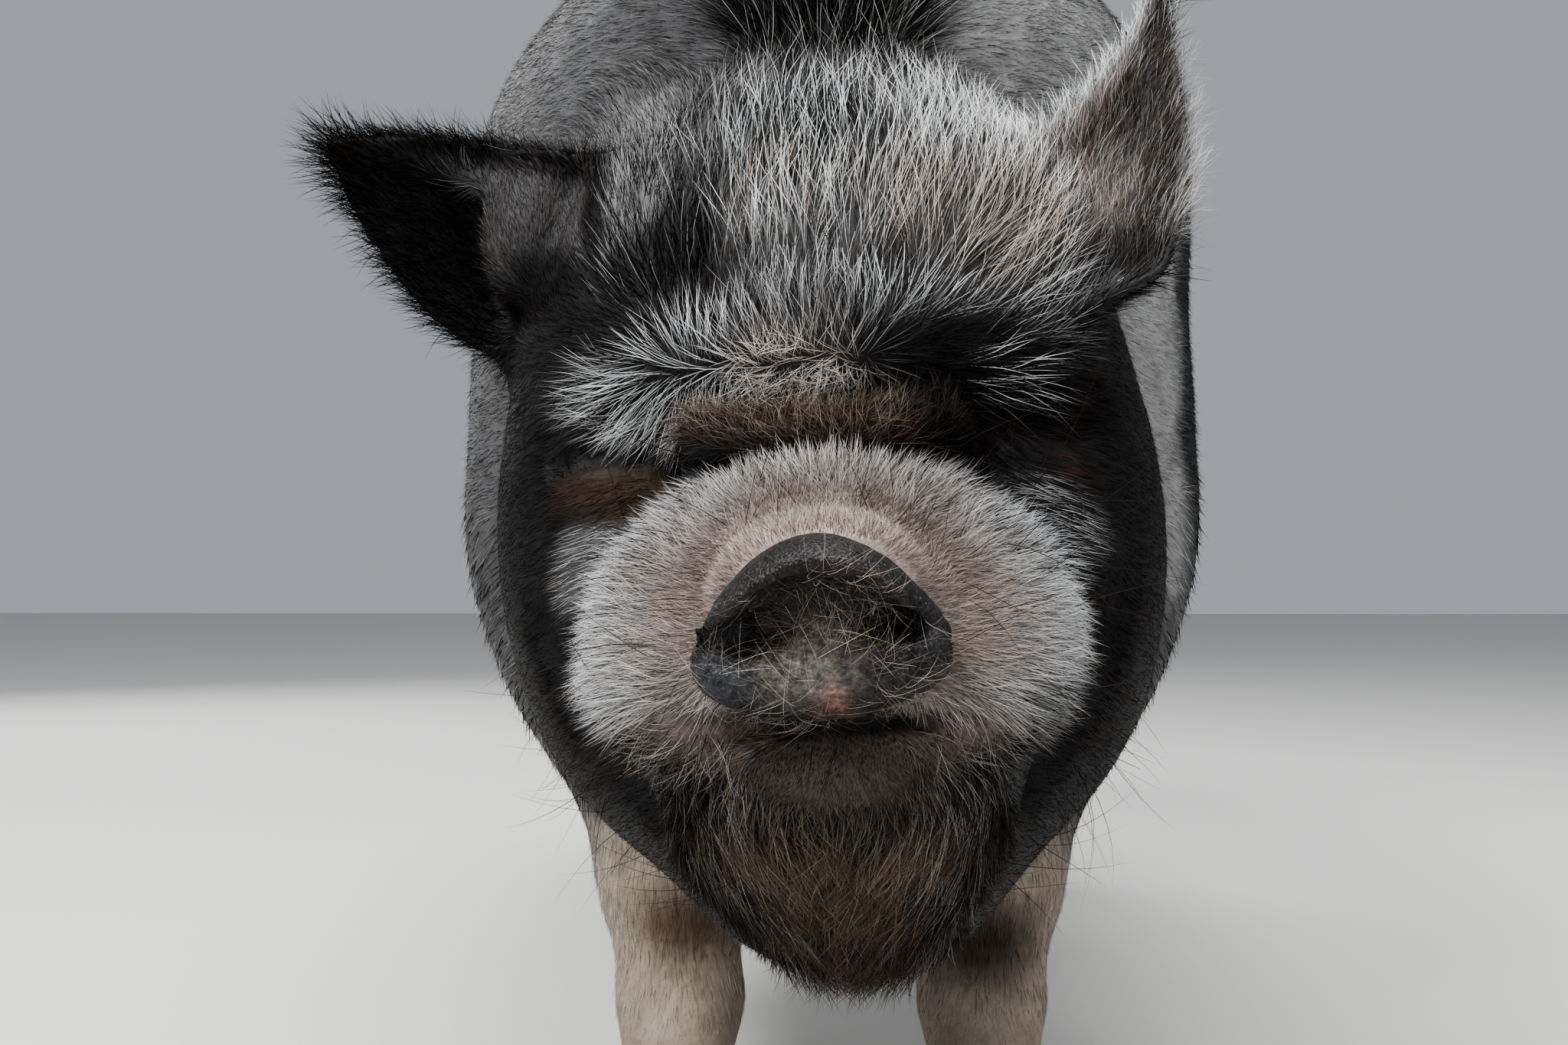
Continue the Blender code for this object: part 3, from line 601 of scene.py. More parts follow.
def slope(field: Field, points: Array, value: Array, step: float = 0.0005) -> Array:
    """The way in which the field grows fastest from its value at each point.

    Args:
        field: Distance to a surface.
        points: Places, one row each.
        value: The field there.
        step: How far each probe goes.

    Returns:
        One way for each point.
    """
    out = np.empty_like(points)
    for axis in range(3):
        nudge = np.zeros(3)
        nudge[axis] = step
        out[:, axis] = (field(points + nudge) - value) / step
    return out


def settle(mesh: Mesh, field: Field, only: Optional[Field] = None, rounds: int = 5,
           reach: float = 0.008) -> None:
    """Moves vertices on to the field's zero and evens the spacing between them.

    Args:
        mesh: The mesh to move.
        field: Distance to the wanted surface.
        only: Says which points may move, or None for all.
        rounds: How many times each vertex is moved.
        reach: The longest move of one round.
    """
    points = vertices_of(mesh)
    free = np.ones(len(points), bool) if only is None else only(points)
    ends = read(mesh.edges, "vertices", 2)
    least_slope, evening = 0.1, 0.5
    count = np.maximum(np.bincount(ends.ravel(), minlength=len(points)), 1)[:, None]
    for turn in range(rounds):
        moving = points[free]
        value = field(moving)
        grade = slope(field, moving, value)
        size = np.linalg.norm(grade, axis=1, keepdims=True)
        step = value[:, None] * grade / np.maximum(size ** 2, least_slope)
        length = np.linalg.norm(step, axis=1, keepdims=True)
        points[free] = moving - step * np.minimum(1, reach / np.maximum(length, 1e-9))
        if turn < rounds - 2:
            near = np.zeros_like(points)
            np.add.at(near, ends[:, 0], points[ends[:, 1]])
            np.add.at(near, ends[:, 1], points[ends[:, 0]])
            points = points + evening * (near / count - points)
    mesh.vertices.foreach_set("co", points.astype(np.float32).ravel())
    mesh.update()


@dataclass
class Flesh:
    """The animal's body as one field whose zero is the skin."""

    trunk: tuple[Form, ...] = (
        Mass((0, -0.15, 0.325), (0.152, 0.18, 0.175), 0.06),
        Mass((0, -0.14, 0.415), (0.156, 0.2, 0.15), 0.06),
        Mass((0, 0.11, 0.285), (0.175, 0.3, 0.2), 0.08),
        Mass((0, 0.09, 0.39), (0.177, 0.33, 0.15), 0.07),
        Mass((0, 0.355, 0.365), (0.158, 0.185, 0.175), 0.07),
        Mass((0.098, 0.355, 0.275), (0.078, 0.125, 0.15), 0.05, True),
        Mass((0.092, -0.185, 0.27), (0.078, 0.1, 0.135), 0.05, True),
        Mass((0.08, -0.12, 0.425), (0.086, 0.13, 0.092), 0.05, True),
    )
    neck: tuple[Form, ...] = (
        Mass((0, -0.262, 0.365), (0.13, 0.13, 0.146), 0.06),
        Mass((0, -0.24, 0.44), (0.105, 0.16, 0.088), 0.06),
        Mass((0, -0.31, 0.22), (0.09, 0.11, 0.095), 0.05),
    )
    legs: tuple[Form, ...] = (
        Limb((0.088, -0.205, 0.245), (0.069, -0.262, 0.105), 0.064, 0.033, 0.04, True),
        Limb((0.069, -0.262, 0.105), (0.066, -0.268, 0.05), 0.031, 0.027, 0.015, True),
        Limb((0.066, -0.268, 0.05), (0.066, -0.284, 0.03), 0.027, 0.025, 0.01, True),
        Limb((0.105, 0.36, 0.25), (0.1, 0.43, 0.135), 0.07, 0.034, 0.04, True),
        Limb((0.1, 0.43, 0.135), (0.096, 0.405, 0.055), 0.03, 0.026, 0.015, True),
        Limb((0.096, 0.405, 0.055), (0.096, 0.388, 0.03), 0.026, 0.024, 0.01, True),
    )
    tail: tuple[Form, ...] = (
        Limb((0, 0.5, 0.455), (0, 0.54, 0.45), 0.02, 0.018, 0.02),
        Limb((0, 0.54, 0.45), (0, 0.566, 0.415), 0.018, 0.014, 0.01),
        Limb((0, 0.566, 0.415), (0, 0.571, 0.36), 0.014, 0.01, 0.01),
        Limb((0, 0.571, 0.36), (0, 0.57, 0.3), 0.01, 0.0075, 0.01),
        Limb((0, 0.57, 0.3), (0, 0.568, 0.25), 0.0075, 0.006, 0.01),
    )
    head: tuple[Form, ...] = (
        Mass((0, -0.365, 0.33), (0.1, 0.115, 0.11), 0.04),
        Mass((0.06, -0.394, 0.348), (0.042, 0.062, 0.05), 0.025, True),
        Mass((0.067, -0.392, 0.25), (0.06, 0.086, 0.112), 0.03, True),
        Mass((0, -0.4, 0.164), (0.074, 0.083, 0.078), 0.03),
        Mass((0, -0.468, 0.224), (0.082, 0.068, 0.053), 0.01),
        Mass((0.04, -0.497, 0.203), (0.04, 0.045, 0.032), 0.02, True),
        Limb((0, -0.49, 0.233), (0, -0.523, 0.227), 0.047, 0.035, 0.025),
        Mass((0, -0.545, 0.229), (0.0385, 0.015, 0.027), 0.015),
        Limb((0.012, -0.472, 0.315), (0.078, -0.444, 0.306), 0.024, 0.02, 0.01, True),
        Limb((-0.032, -0.487, 0.285), (0.032, -0.487, 0.285), 0.0155, 0.0155, 0.008),
        Mass((0, -0.5, 0.174), (0.046, 0.048, 0.028), 0.015),
        Mass((0, -0.445, 0.165), (0.066, 0.07, 0.048), 0.03),
        Mass(EYE_CENTRE, (LID_RADIUS,) * 3, 0.006, True),
    )
    folds: tuple[Fold, ...] = (
        Fold(((0, -0.552, 0.194), (0.028, -0.535, 0.192), (0.055, -0.502, 0.187),
              (0.08, -0.462, 0.194)), 0.008, 0.0036),
        Fold(((0.088, -0.455, 0.262), (0.098, -0.45, 0.225), (0.086, -0.455, 0.185),
              (0.06, -0.462, 0.16)), 0.008, 0.008),
        Fold(((0.112, -0.325, 0.34), (0.135, -0.312, 0.26), (0.105, -0.318, 0.15),
              (0.04, -0.33, 0.09)), 0.014, 0.014),
        Fold(((0.05, -0.47, 0.277), (0.062, -0.47, 0.279), (0.078, -0.462, 0.275)),
             0.0065, 0.003),
        Fold(((0, -0.497, 0.2975), (0.03, -0.492, 0.2965), (0.055, -0.48, 0.29),
              (0.09, -0.462, 0.283)), 0.0055, 0.0045),
        Fold(((0, -0.556, 0.2245), (0.022, -0.556, 0.2245)), 0.016, 0.018),
        Fold(((0, -0.503, 0.2755), (0.035, -0.497, 0.2755), (0.055, -0.482, 0.273)),
             0.0045, 0.004),
    )
    rolled: tuple[Form, ...] = (
        Mass((-0.11, -0.404, 0.365), (0.021, 0.027, 0.029), 0.005),
        Limb((-0.118, -0.412, 0.381), (-0.164, -0.412, 0.3975), 0.0085, 0.0035, 0.006),
    )
    inset: float = 0.0012
    tail_blend: float = 0.02
    head_blend: float = 0.03
    ear_blend: float = 0.014
    # The seam's y and z, and how far it leans.
    seam: Triple = (-0.285, 0.3, math.radians(9))
    fine: float = 0.0026
    coarse: float = 0.0075
    strip: float = 0.006
    # How far behind the seam the fine mesh settles, and ahead of it the coarse one.
    settled: tuple[float, float] = (-0.02, 0.03)
    # Masses of the trunk behind this y aren't in the fine mesh.
    near_y: float = -0.1

    def __post_init__(self) -> None:
        """Lays out both ears."""
        self.ears = {word: EarShape(ear) for word, ear in EARS.items()}

    def bare(self, points: Array) -> Array:
        """Distance to the skin without the ears.

        Args:
            points: Places in the posed animal.

        Returns:
            One distance for each point.
        """
        square = POSE.squared(points)
        body = union_of(points, self.trunk + self.neck + self.legs)
        body = joined(body, union_of(points, self.tail), self.tail_blend)
        whole = joined(body, union_of(square, self.head), self.head_blend)
        return whole + sum(fold.drawn_in(square) for fold in self.folds) + self.inset

    def whole(self, points: Array) -> Array:
        """Distance to the skin with the ears.

        Args:
            points: Places in the posed animal.

        Returns:
            One distance for each point.
        """
        found = self.bare(points)
        for ear in self.ears.values():
            found = joined(found, ear.distance(points), self.ear_blend)
        for form in self.rolled:
            found = joined(found, form.distance(points), form.blend)
        return found

    def fused(self, forms: tuple[Form, ...], voxel: float, ears: bool) -> Object:
        """One closed mesh round the head, these forms and the ears, by a voxel remesh.

        Args:
            forms: Masses of the body.
            voxel: Width of a face, in metres.
            ears: Whether the ears are in it.

        Returns:
            The mesh as an object.
        """
        cage = bmesh.new()
        for group, posed in ((forms, False), (self.head, True)):
            for form in both_sides(group):
                for centre, radii in form.balls():
                    place = Matrix.Translation(Vector(centre)) @ Matrix.Diagonal((*radii, 1))
                    ball = bmesh.ops.create_icosphere(cage, subdivisions=3, radius=1,
                                                      matrix=place)
                    for vertex in ball["verts"] if posed else ():
                        vertex.co = POSE.place(vertex.co)
        for shape in self.ears.values() if ears else ():
            leaf = shape.cage(2.2 * voxel)
            cage.from_mesh(leaf.data)
            bpy.data.objects.remove(leaf, do_unlink=True)
        return remeshed(linked_cage("fused", cage), voxel)

    def ahead(self, points: Array) -> Array:
        """How far each point lies ahead of the seam between the fine and the coarse mesh."""
        y, z, lean = self.seam
        return -((points[:, 1] - y) * math.cos(lean) - (points[:, 2] - z) * math.sin(lean))

    def open_half(self, made: Object, front: bool) -> Cage:
        """The part of a mesh on one side of the seam, open there.

        Args:
            made: The closed mesh, which is removed.
            front: Whether the part ahead of the seam stays.

        Returns:
            The part as a cage.
        """
        y, z, lean = self.seam
        cage = bmesh.new()
        cage.from_mesh(made.data)
        bpy.data.objects.remove(made, do_unlink=True)
        normal = Vector((0, math.cos(lean), -math.sin(lean)))
        start = Vector((0, y, z)) + (Vector() if front else normal * self.strip)
        geometry = list(cage.verts) + list(cage.edges) + list(cage.faces)
        bmesh.ops.bisect_plane(cage, geom=geometry, plane_co=start, plane_no=normal,
                               clear_outer=front, clear_inner=not front)
        return cage

    def skin(self) -> Object:
        """The whole skin: a fine head and a coarser body, bridged at the seam."""
        near = tuple(form for form in self.trunk if form.centre[1] < self.near_y)
        head = self.fused(near + self.neck + self.rolled, self.fine, True)
        behind, before = self.settled
        settle(head.data, self.whole, only=lambda points: self.ahead(points) > behind)
        body = self.fused(self.trunk + self.neck + self.legs + self.tail, self.coarse, False)
        settle(body.data, self.bare, only=lambda points: self.ahead(points) < before)
        cage = self.open_half(head, True)
        rear = self.open_half(body, False)
        split = len(cage.faces)
        mesh = bpy.data.meshes.new("rear")
        rear.to_mesh(mesh)
        rear.free()
        cage.from_mesh(mesh)
        bpy.data.meshes.remove(mesh)
        log.info("head and body faces: %d, %d", split, len(cage.faces) - split)
        rim = [edge for edge in cage.edges if len(edge.link_faces) == 1]
        bmesh.ops.bridge_loops(cage, edges=rim)
        wide = [face for face in cage.faces if len(face.verts) > 4]
        bmesh.ops.triangulate(cage, faces=wide)
        bmesh.ops.recalc_face_normals(cage, faces=cage.faces)
        return linked_cage("skin", cage)


@dataclass(frozen=True)
class Patch:
    """A marking: an ellipsoid within which hide and hair take their tones."""

    centre: Triple
    radii: Triple
    hair: Tone
    other: Tone
    share: float
    hide: Tone
    edge: float = 0.25
    ragged: float = 0.16
    # Width and seed of the swells along its edge.
    swells = (0.012, 3)

    def strength(self, points: Array) -> Array:
        """0 outside and 1 inside, with a soft, ragged edge."""
        near = np.linalg.norm((points - np.array(self.centre)) / np.array(self.radii), axis=1)
        near = near + self.ragged * lattice_noise(points, *self.swells)
        return 1 - smooth_step(near, 1 - self.edge, 1 + self.edge)


def all_over(hair: Tone, other: Tone, share: float, hide: Tone) -> Patch:
    """A marking that reaches everywhere."""
    return Patch((0, 0, 0), (9, 9, 9), hair, other, share, hide)


class Markings:
    """The animal's colours, the same on skin and coat."""

    base = all_over(BLACK, SILVER, 0.35, SLATE)
    # How pale the body is: the width and weight of each swell of noise, and its seed.
    blotches = ((0.19, 1.0, 21), (0.06, 0.45, 22), (0.018, 0.16, 23))
    blotch_range = (0.05, 0.3)
    blotch_start = (-0.24, -0.12)
    pale = all_over(SILVER, WHITE, 0.5, ASH)
    patches = (
        # Head, black all over before its pale parts.
        Patch((0, -0.42, 0.25), (0.17, 0.115, 0.16), BLACK, UMBER, 0.35, BLACK),
        # Neck and shoulders.
        Patch((-0.12, -0.1, 0.44), (0.11, 0.15, 0.16), SLATE, SILVER, 0.5, GREY, 0.4),
        Patch((-0.13, -0.27, 0.4), (0.11, 0.11, 0.15), BLACK, SILVER, 0.35, DUSK),
        Patch((0.08, -0.3, 0.45), (0.08, 0.1, 0.07), SILVER, BLACK, 0.4, ASH),
        Patch((0.135, -0.28, 0.34), (0.06, 0.085, 0.12), WHITE, SILVER, 0.35, ASH),
        Patch((0.168, -0.19, 0.34), (0.03, 0.08, 0.11), BLACK, BLACK, 0.1, BLACK),
        Patch((-0.01, -0.33, 0.47), (0.04, 0.13, 0.07), BLACK, SLATE, 0.3, BLACK),
        # Temple and forehead.
        Patch((-0.083, -0.41, 0.385), (0.042, 0.06, 0.046), BLACK, SILVER, 0.16, GREY),
        Patch((0.026, -0.455, 0.362), (0.067, 0.065, 0.058), WHITE, BLACK, 0.48, BLACK),
        Patch((0.05, -0.435, 0.392), (0.04, 0.05, 0.03), WHITE, SILVER, 0.25, BLACK, 0.4),
        Patch((-0.008, -0.452, 0.39), (0.032, 0.05, 0.022), WHITE, BLACK, 0.58, BLACK, 0.5),
        Patch((-0.008, -0.472, 0.352), (0.034, 0.04, 0.018), WHITE, DUN, 0.35, SLATE, 0.5, 0.3),
        Patch((0.048, -0.46, 0.356), (0.04, 0.05, 0.022), CREAM, GREY, 0.18, SLATE, 0.4),
        Patch((-0.05, -0.467, 0.352), (0.014, 0.04, 0.017), BLACK, SILVER, 0.12, BLACK),
        Patch((-0.066, -0.464, 0.339), (0.018, 0.04, 0.01), BLACK, SILVER, 0.12, BLACK),
        # Brow roll, its whorl, and the dark left brow.
        Patch((-0.036, -0.48, 0.299), (0.053, 0.04, 0.021), WHITE, BLACK, 0.22, BLACK),
        Patch((-0.01, -0.495, 0.308), (0.022, 0.03, 0.01), CREAM, WHITE, 0.2, UMBER, 0.4),
        Patch((0.042, -0.482, 0.315), (0.034, 0.035, 0.011), BLACK, UMBER, 0.2, BLACK),
        Patch((0.037, -0.485, 0.3), (0.032, 0.03, 0.012), BLACK, UMBER, 0.2, BLACK),
        Patch((0.055, -0.477, 0.306), (0.014, 0.03, 0.012), BLACK, WHITE, 0.28, BLACK),
        Patch((-0.015, -0.5, 0.288), (0.046, 0.03, 0.009), BROWN, DUN, 0.42, UMBER),
        Patch((0.046, -0.49, 0.289), (0.022, 0.03, 0.013), BLACK, UMBER, 0.3, BLACK),
        # Eye hollows, with rust at their corners.
        Patch((-0.07, -0.47, 0.273), (0.03, 0.03, 0.012), BLACK, UMBER, 0.4, BLACK),
        Patch((0.066, -0.475, 0.281), (0.03, 0.03, 0.015), BLACK, UMBER, 0.4, BLACK),
        Patch((0.078, -0.474, 0.272), (0.01, 0.02, 0.01), RUST, BLACK, 0.5, BLACK),
        # Muzzle: white outside, pink and tan within, pale beside the disc.
        Patch((-0.003, -0.52, 0.229), (0.091, 0.072, 0.048), WHITE, SILVER, 0.1, ASH, 0.1, 0.14),
        Patch((0.068, -0.488, 0.252), (0.026, 0.04, 0.021), WHITE, BLACK, 0.2, BLACK, 0.2),
        Patch((-0.074, -0.482, 0.238), (0.026, 0.035, 0.021), WHITE, SILVER, 0.15, SLATE, 0.2),
        Patch((-0.074, -0.476, 0.266), (0.024, 0.022, 0.01), RUST, UMBER, 0.45, UMBER),
        Patch((-0.002, -0.54, 0.232), (0.066, 0.052, 0.043), FAWN, TAUPE, 0.08, PINK, 0.4),
        Patch((0.0, -0.545, 0.244), (0.036, 0.04, 0.026), DUN, FAWN, 0.55, TAUPE, 0.5),
        Patch((-0.002, -0.552, 0.234), (0.043, 0.024, 0.0292), FAWN, CREAM, 0.35, PINK, 0.18),
        Patch((-0.047, -0.478, 0.2785), (0.022, 0.03, 0.006), BLACK, UMBER, 0.3, BLACK, 0.4),
        # Lips, chin, throat and dewlap.
        Patch((-0.002, -0.53, 0.19), (0.056, 0.06, 0.013), DUN, CREAM, 0.45, MAUVE),
        Patch((0.002, -0.53, 0.156), (0.05, 0.045, 0.02), BROWN, DUN, 0.4, UMBER, 0.4),
        Patch((0.004, -0.5, 0.132), (0.03, 0.05, 0.026), BROWN, DUN, 0.25, UMBER, 0.4),
        Patch((0.002, -0.55, 0.179), (0.032, 0.03, 0.013), DUN, SLATE, 0.45, SOIL, 0.5, 0.3),
        # Painted shade: the gap of the mouth is darkened to black.
        Patch((0.0, -0.55, 0.1935), (0.045, 0.04, 0.0055), BLACK, UMBER, 0.4, BLACK, 0.3),
        Patch((0.012, -0.45, 0.104), (0.026, 0.045, 0.022), UMBER, MAUVE, 0.5, RUST),
        # Legs and knees.
        *(Patch((side * 0.066, -0.27, 0.05), (0.06, 0.06, 0.095), CREAM, FAWN, 0.35, DUN)
          for side in (-1, 1)),
        Patch((-0.06, -0.3, 0.086), (0.023, 0.03, 0.016), TAUPE, BROWN, 0.4, BROWN, 0.8, 0.3),
        Patch((0.067, -0.3, 0.08), (0.024, 0.03, 0.017), TAUPE, UMBER, 0.4, UMBER, 0.8, 0.3),
        *(Patch((side * 0.096, 0.4, 0.05), (0.06, 0.07, 0.08), WHITE, SILVER, 0.45, ASH)
          for side in (-1, 1)),
    )
    # Tones of the ears, of the bands across the left one, and of the lobe beside the right one,
    # with painted shade in the crease beside the lobe and below it.
    ear_patches = {
        "left": all_over(SLATE, SILVER, 0.38, UMBER),
        "right": all_over(BLACK, UMBER, 0.2, BLACK),
    }
    ear_streak = all_over(UMBER, BLACK, 0.4, SLATE)
    ear_whorl = all_over(FAWN, WHITE, 0.5, TAUPE)
    ear_rim = all_over(WHITE, CREAM, 0.2, MAUVE)
    # How far along the ear the whorl fades into the streak, where across it each band has its
    # middle, and how wide each is.
    fade_along = (0.25, 0.5)
    whorl_turn, whorl_width = -0.2, (0.3, 0.7)
    streak_turn, streak_width = 0.1, 0.16
    rim_turn, rim_width = 0.15, (0.65, 0.95)
    lobe_with_shade = (
        Patch((-0.109, -0.43, 0.368), (0.024, 0.022, 0.031), SLATE, TAUPE, 0.35, SLATE, 0.3, 0.1),
        # Painted shade: the dark crease beside the lobe and the shadow below it.
        Patch((-0.085, -0.43, 0.362), (0.0055, 0.03, 0.03), BLACK, UMBER, 0.2, BLACK),
        Patch((-0.1, -0.43, 0.342), (0.02, 0.03, 0.014), BLACK, UMBER, 0.2, BLACK, 0.4),
    )

    def __init__(self, flesh: Flesh) -> None:
        """Keeps the flesh, whose ears have their own tones."""
        self.flesh = flesh

    def piebald(self, points: Array) -> Array:
        """How pale the body is, in large soft-edged blotches."""
        broad = sum(part * lattice_noise(points, size, seed) for size, part, seed in self.blotches)
        behind = smooth_step(points[:, 1], *self.blotch_start)
        return smooth_step(broad, *self.blotch_range) * behind

    def painted(self, points: Array) -> dict[str, Array]:
        """Tones at each point of the posed animal.

        Args:
            points: Places on the skin.

        Returns:
            Colours `hair`, `other` and `hide`, and the `share` of the other hairs.
        """
        rows = {name: np.tile(getattr(self.base, name).value, (len(points), 1))
                for name in ("hair", "other", "hide")}
        rows["share"] = np.full((len(points), 1), self.base.share)
        self.lay(rows, self.pale, self.piebald(points))
        for patch in self.patches:
            self.lay(rows, patch, patch.strength(points))
        for word, shape in self.flesh.ears.items():
            worn, share, turn = shape.worn(points)
            self.lay(rows, self.ear_patches[word], worn)
            if word == "left":
                outer = smooth_step(share, *self.fade_along)
                aside = smooth_step(np.abs(turn - self.whorl_turn), *self.whorl_width)
                whorl = (1 - outer) * (1 - aside)
                streak = np.exp(-((turn - self.streak_turn) / self.streak_width) ** 2) * outer
                rim = smooth_step(np.abs(turn - self.rim_turn), *self.rim_width)
                self.lay(rows, self.ear_whorl, worn * 0.7 * whorl)
                self.lay(rows, self.ear_streak, worn * 0.9 * streak)
                self.lay(rows, self.ear_rim, worn * rim)
        for patch in self.lobe_with_shade:
            self.lay(rows, patch, patch.strength(points))
        return rows

    @staticmethod
    def lay(rows: dict[str, Array], patch: Patch, strength: Array) -> None:
        """Lays one marking over those before it."""
        part = strength[:, None]
        for name, value in (("hair", patch.hair.value), ("other", patch.other.value),
                            ("hide", patch.hide.value), ("share", (patch.share,))):
            rows[name] = rows[name] * (1 - part) + np.array(value) * part


@dataclass(frozen=True)
class Zone:
    """One zone of the coat: how many hairs a square centimetre, and their size and stance."""

    name: str
    per_cm2: float
    length: float
    slender: float
    rise: float
    weight: Field
    lie: Field
    wander: float = 0.5
    curl: float = 1.0
    segments: int = 2


def everywhere(weight: float) -> Field:
    """The same weight at each point."""
    return lambda points: np.full(len(points), weight)


# The half width over which a mirrored lie turns over, and the soft core of a parting.
PART_WIDTH = 0.03
PART_CORE = 0.002
LEGS_TOP = (0.1, 0.16)
FORELEG_FRONT = (-0.335, -0.315)
FORELEG_BACK = (-0.17, -0.13)
HINDLEG_FRONT = (0.29, 0.33)


def near(centre: Triple, radii: Triple, edge: float = 0.3) -> Field:
    """A weight that is 1 within an ellipsoid and fades at its edge.

    Args:
        centre: Middle of the ellipsoid.
        radii: Its half sizes.
        edge: Half width of its fading edge.

    Returns:
        The weight as a field.
    """
    def weight(points: Array) -> Array:
        """1 within the ellipsoid."""
        reach = lengths((points - np.array(centre)) / np.array(radii))
        return 1 - smooth_step(reach, 1 - edge, 1 + edge)
    return weight


def heading(x: float, y: float, z: float) -> Field:
    """A lie that mirrors at the midline, its x away from it."""
    def lie(points: Array) -> Array:
        """The same way at each point of one side."""
        side = np.clip(points[:, 0] / PART_WIDTH, -1, 1)
        return np.column_stack((side * x, np.full(len(points), y), np.full(len(points), z)))
    return lie


def away_from(first: Triple, last: Triple, back: float, lift: float = 0.0) -> Field:
    """A lie that spreads from a parting, seen from the front, and runs `back` as well.

    Args:
        first: Start of the parting.
        last: Its end.
        back: Share of the lie that runs back.
        lift: Share that runs up.

    Returns:
        The lie as a field.
    """
    def lie(points: Array) -> Array:
        """Outward from the nearest place of the parting."""
        flat = on_segment(points, first, last)[1][:, [0, 2]]
        flat = flat / np.maximum(lengths(flat), PART_CORE)[:, None]
        return np.column_stack((flat[:, 0], np.full(len(points), back), flat[:, 1] + lift))
    return lie


def legs_weight(points: Array) -> Array:
    """1 on the legs, 0 on the belly and the head."""
    _, y, z = points.T
    low = 1 - smooth_step(z, *LEGS_TOP)
    fore = smooth_step(y, *FORELEG_FRONT) * (1 - smooth_step(y, *FORELEG_BACK))
    return low * np.maximum(fore, smooth_step(y, *HINDLEG_FRONT))


PARTING = ((-0.05, -0.48, 0.308), (0.012, -0.49, 0.311))
SNOUT = ((0, -0.55, 0.226), (0, -0.55, 0.226))
ZONES = (
    Zone("trunk", 5.2, 0.017, 0.027, 11,
         everywhere(0.02), heading(0.15, 1.0, -0.45), 0.3, 1.0, 1),
    Zone("neck", 22.0, 0.0105, 0.019, 14,
         near((0, -0.22, 0.43), (0.2, 0.16, 0.17)), heading(0.2, 1.0, -0.1), 0.3, 1.0, 1),
    Zone("crest", 22.0, 0.046, 0.012, 26,
         near((0, -0.28, 0.47), (0.04, 0.17, 0.08)), heading(0.15, 1.0, 0.2)),
    Zone("legs", 30.0, 0.008, 0.03, 10,
         legs_weight, heading(0.0, 0.12, -1.0), 0.3, 1.0, 1),
    Zone("jowls", 46.0, 0.008, 0.03, 8,
         near((0, -0.41, 0.22), (0.16, 0.1, 0.16)), heading(0.35, 0.9, -0.25), 0.2, 1.0, 1),
    Zone("temples", 36.0, 0.0095, 0.021, 20,
         near((-0.09, -0.4, 0.375), (0.05, 0.08, 0.06)), heading(0.1, 1.0, 0.5), 0.3, 1.0, 1),
    Zone("forehead", 20.0, 0.025, 0.014, 22,
         near((0.015, -0.455, 0.365), (0.088, 0.07, 0.062)), away_from(*PARTING, 0.35, 0.8),
         0.7, 1.3),
    Zone("brow", 38.0, 0.019, 0.015, 30,
         near((0, -0.48, 0.303), (0.098, 0.04, 0.024)), away_from(*PARTING, 0.0), 0.9, 1.4),
    Zone("whorl", 84.0, 0.01, 0.026, 44,
         near((-0.01, -0.495, 0.308), (0.026, 0.03, 0.008)), away_from(*PARTING, 0.0),
         2.8, 4.0, 3),
    Zone("bridge", 80.0, 0.011, 0.024, 36,
         near((-0.004, -0.5, 0.288), (0.05, 0.03, 0.009)), heading(0.5, 0.0, 1.0), 1.6, 3.0),
    Zone("ruff", 74.0, 0.018, 0.0165, 20,
         near((0, -0.525, 0.227), (0.1, 0.08, 0.054), 0.12), away_from(*SNOUT, 0.75), 0.45),
    Zone("muzzle", 190.0, 0.0105, 0.019, 14,
         near((-0.002, -0.54, 0.229), (0.068, 0.06, 0.042), 0.2), away_from(*SNOUT, 0.75),
         0.6, 1.5),
    Zone("lips", 40.0, 0.013, 0.018, 26,
         near((-0.002, -0.53, 0.19), (0.06, 0.06, 0.014)), away_from(*SNOUT, 0.2, -0.5),
         1.4, 3.5, 3),
    Zone("throat", 56.0, 0.022, 0.014, 24,
         near((0, -0.5, 0.14), (0.06, 0.06, 0.045)), heading(-0.25, 0.0, -1.0), 0.9, 1.5),
    Zone("chin", 150.0, 0.0034, 0.05, 35,
         near((0.002, -0.55, 0.179), (0.032, 0.03, 0.014)), heading(0.5, 0.0, -1.0), 1.0, 1.5, 1),
    Zone("dewlap", 34.0, 0.019, 0.016, 34,
         near((0.012, -0.455, 0.104), (0.036, 0.06, 0.022)), heading(-0.2, 0.15, -1.0), 1.0, 1.5),
    Zone("knob", 170.0, 0.0046, 0.036, 14,
         near((-0.109, -0.43, 0.366), (0.025, 0.024, 0.033), 0.15), heading(0.3, 0.4, 1.0),
         0.5, 1.5, 1),
)
EAR_ZONE = Zone("ears", 62.0, 0.01, 0.021, 20, everywhere(0.0), heading(0, 0, 1), 0.8, 1.5)


@dataclass(frozen=True)
class Trim:
    """A place where hairs are shorter and fewer than in the rest of their zone."""

    centre: Triple
    radii: Triple
    length: float
    number: float = 1.0
    edge: float = 0.35


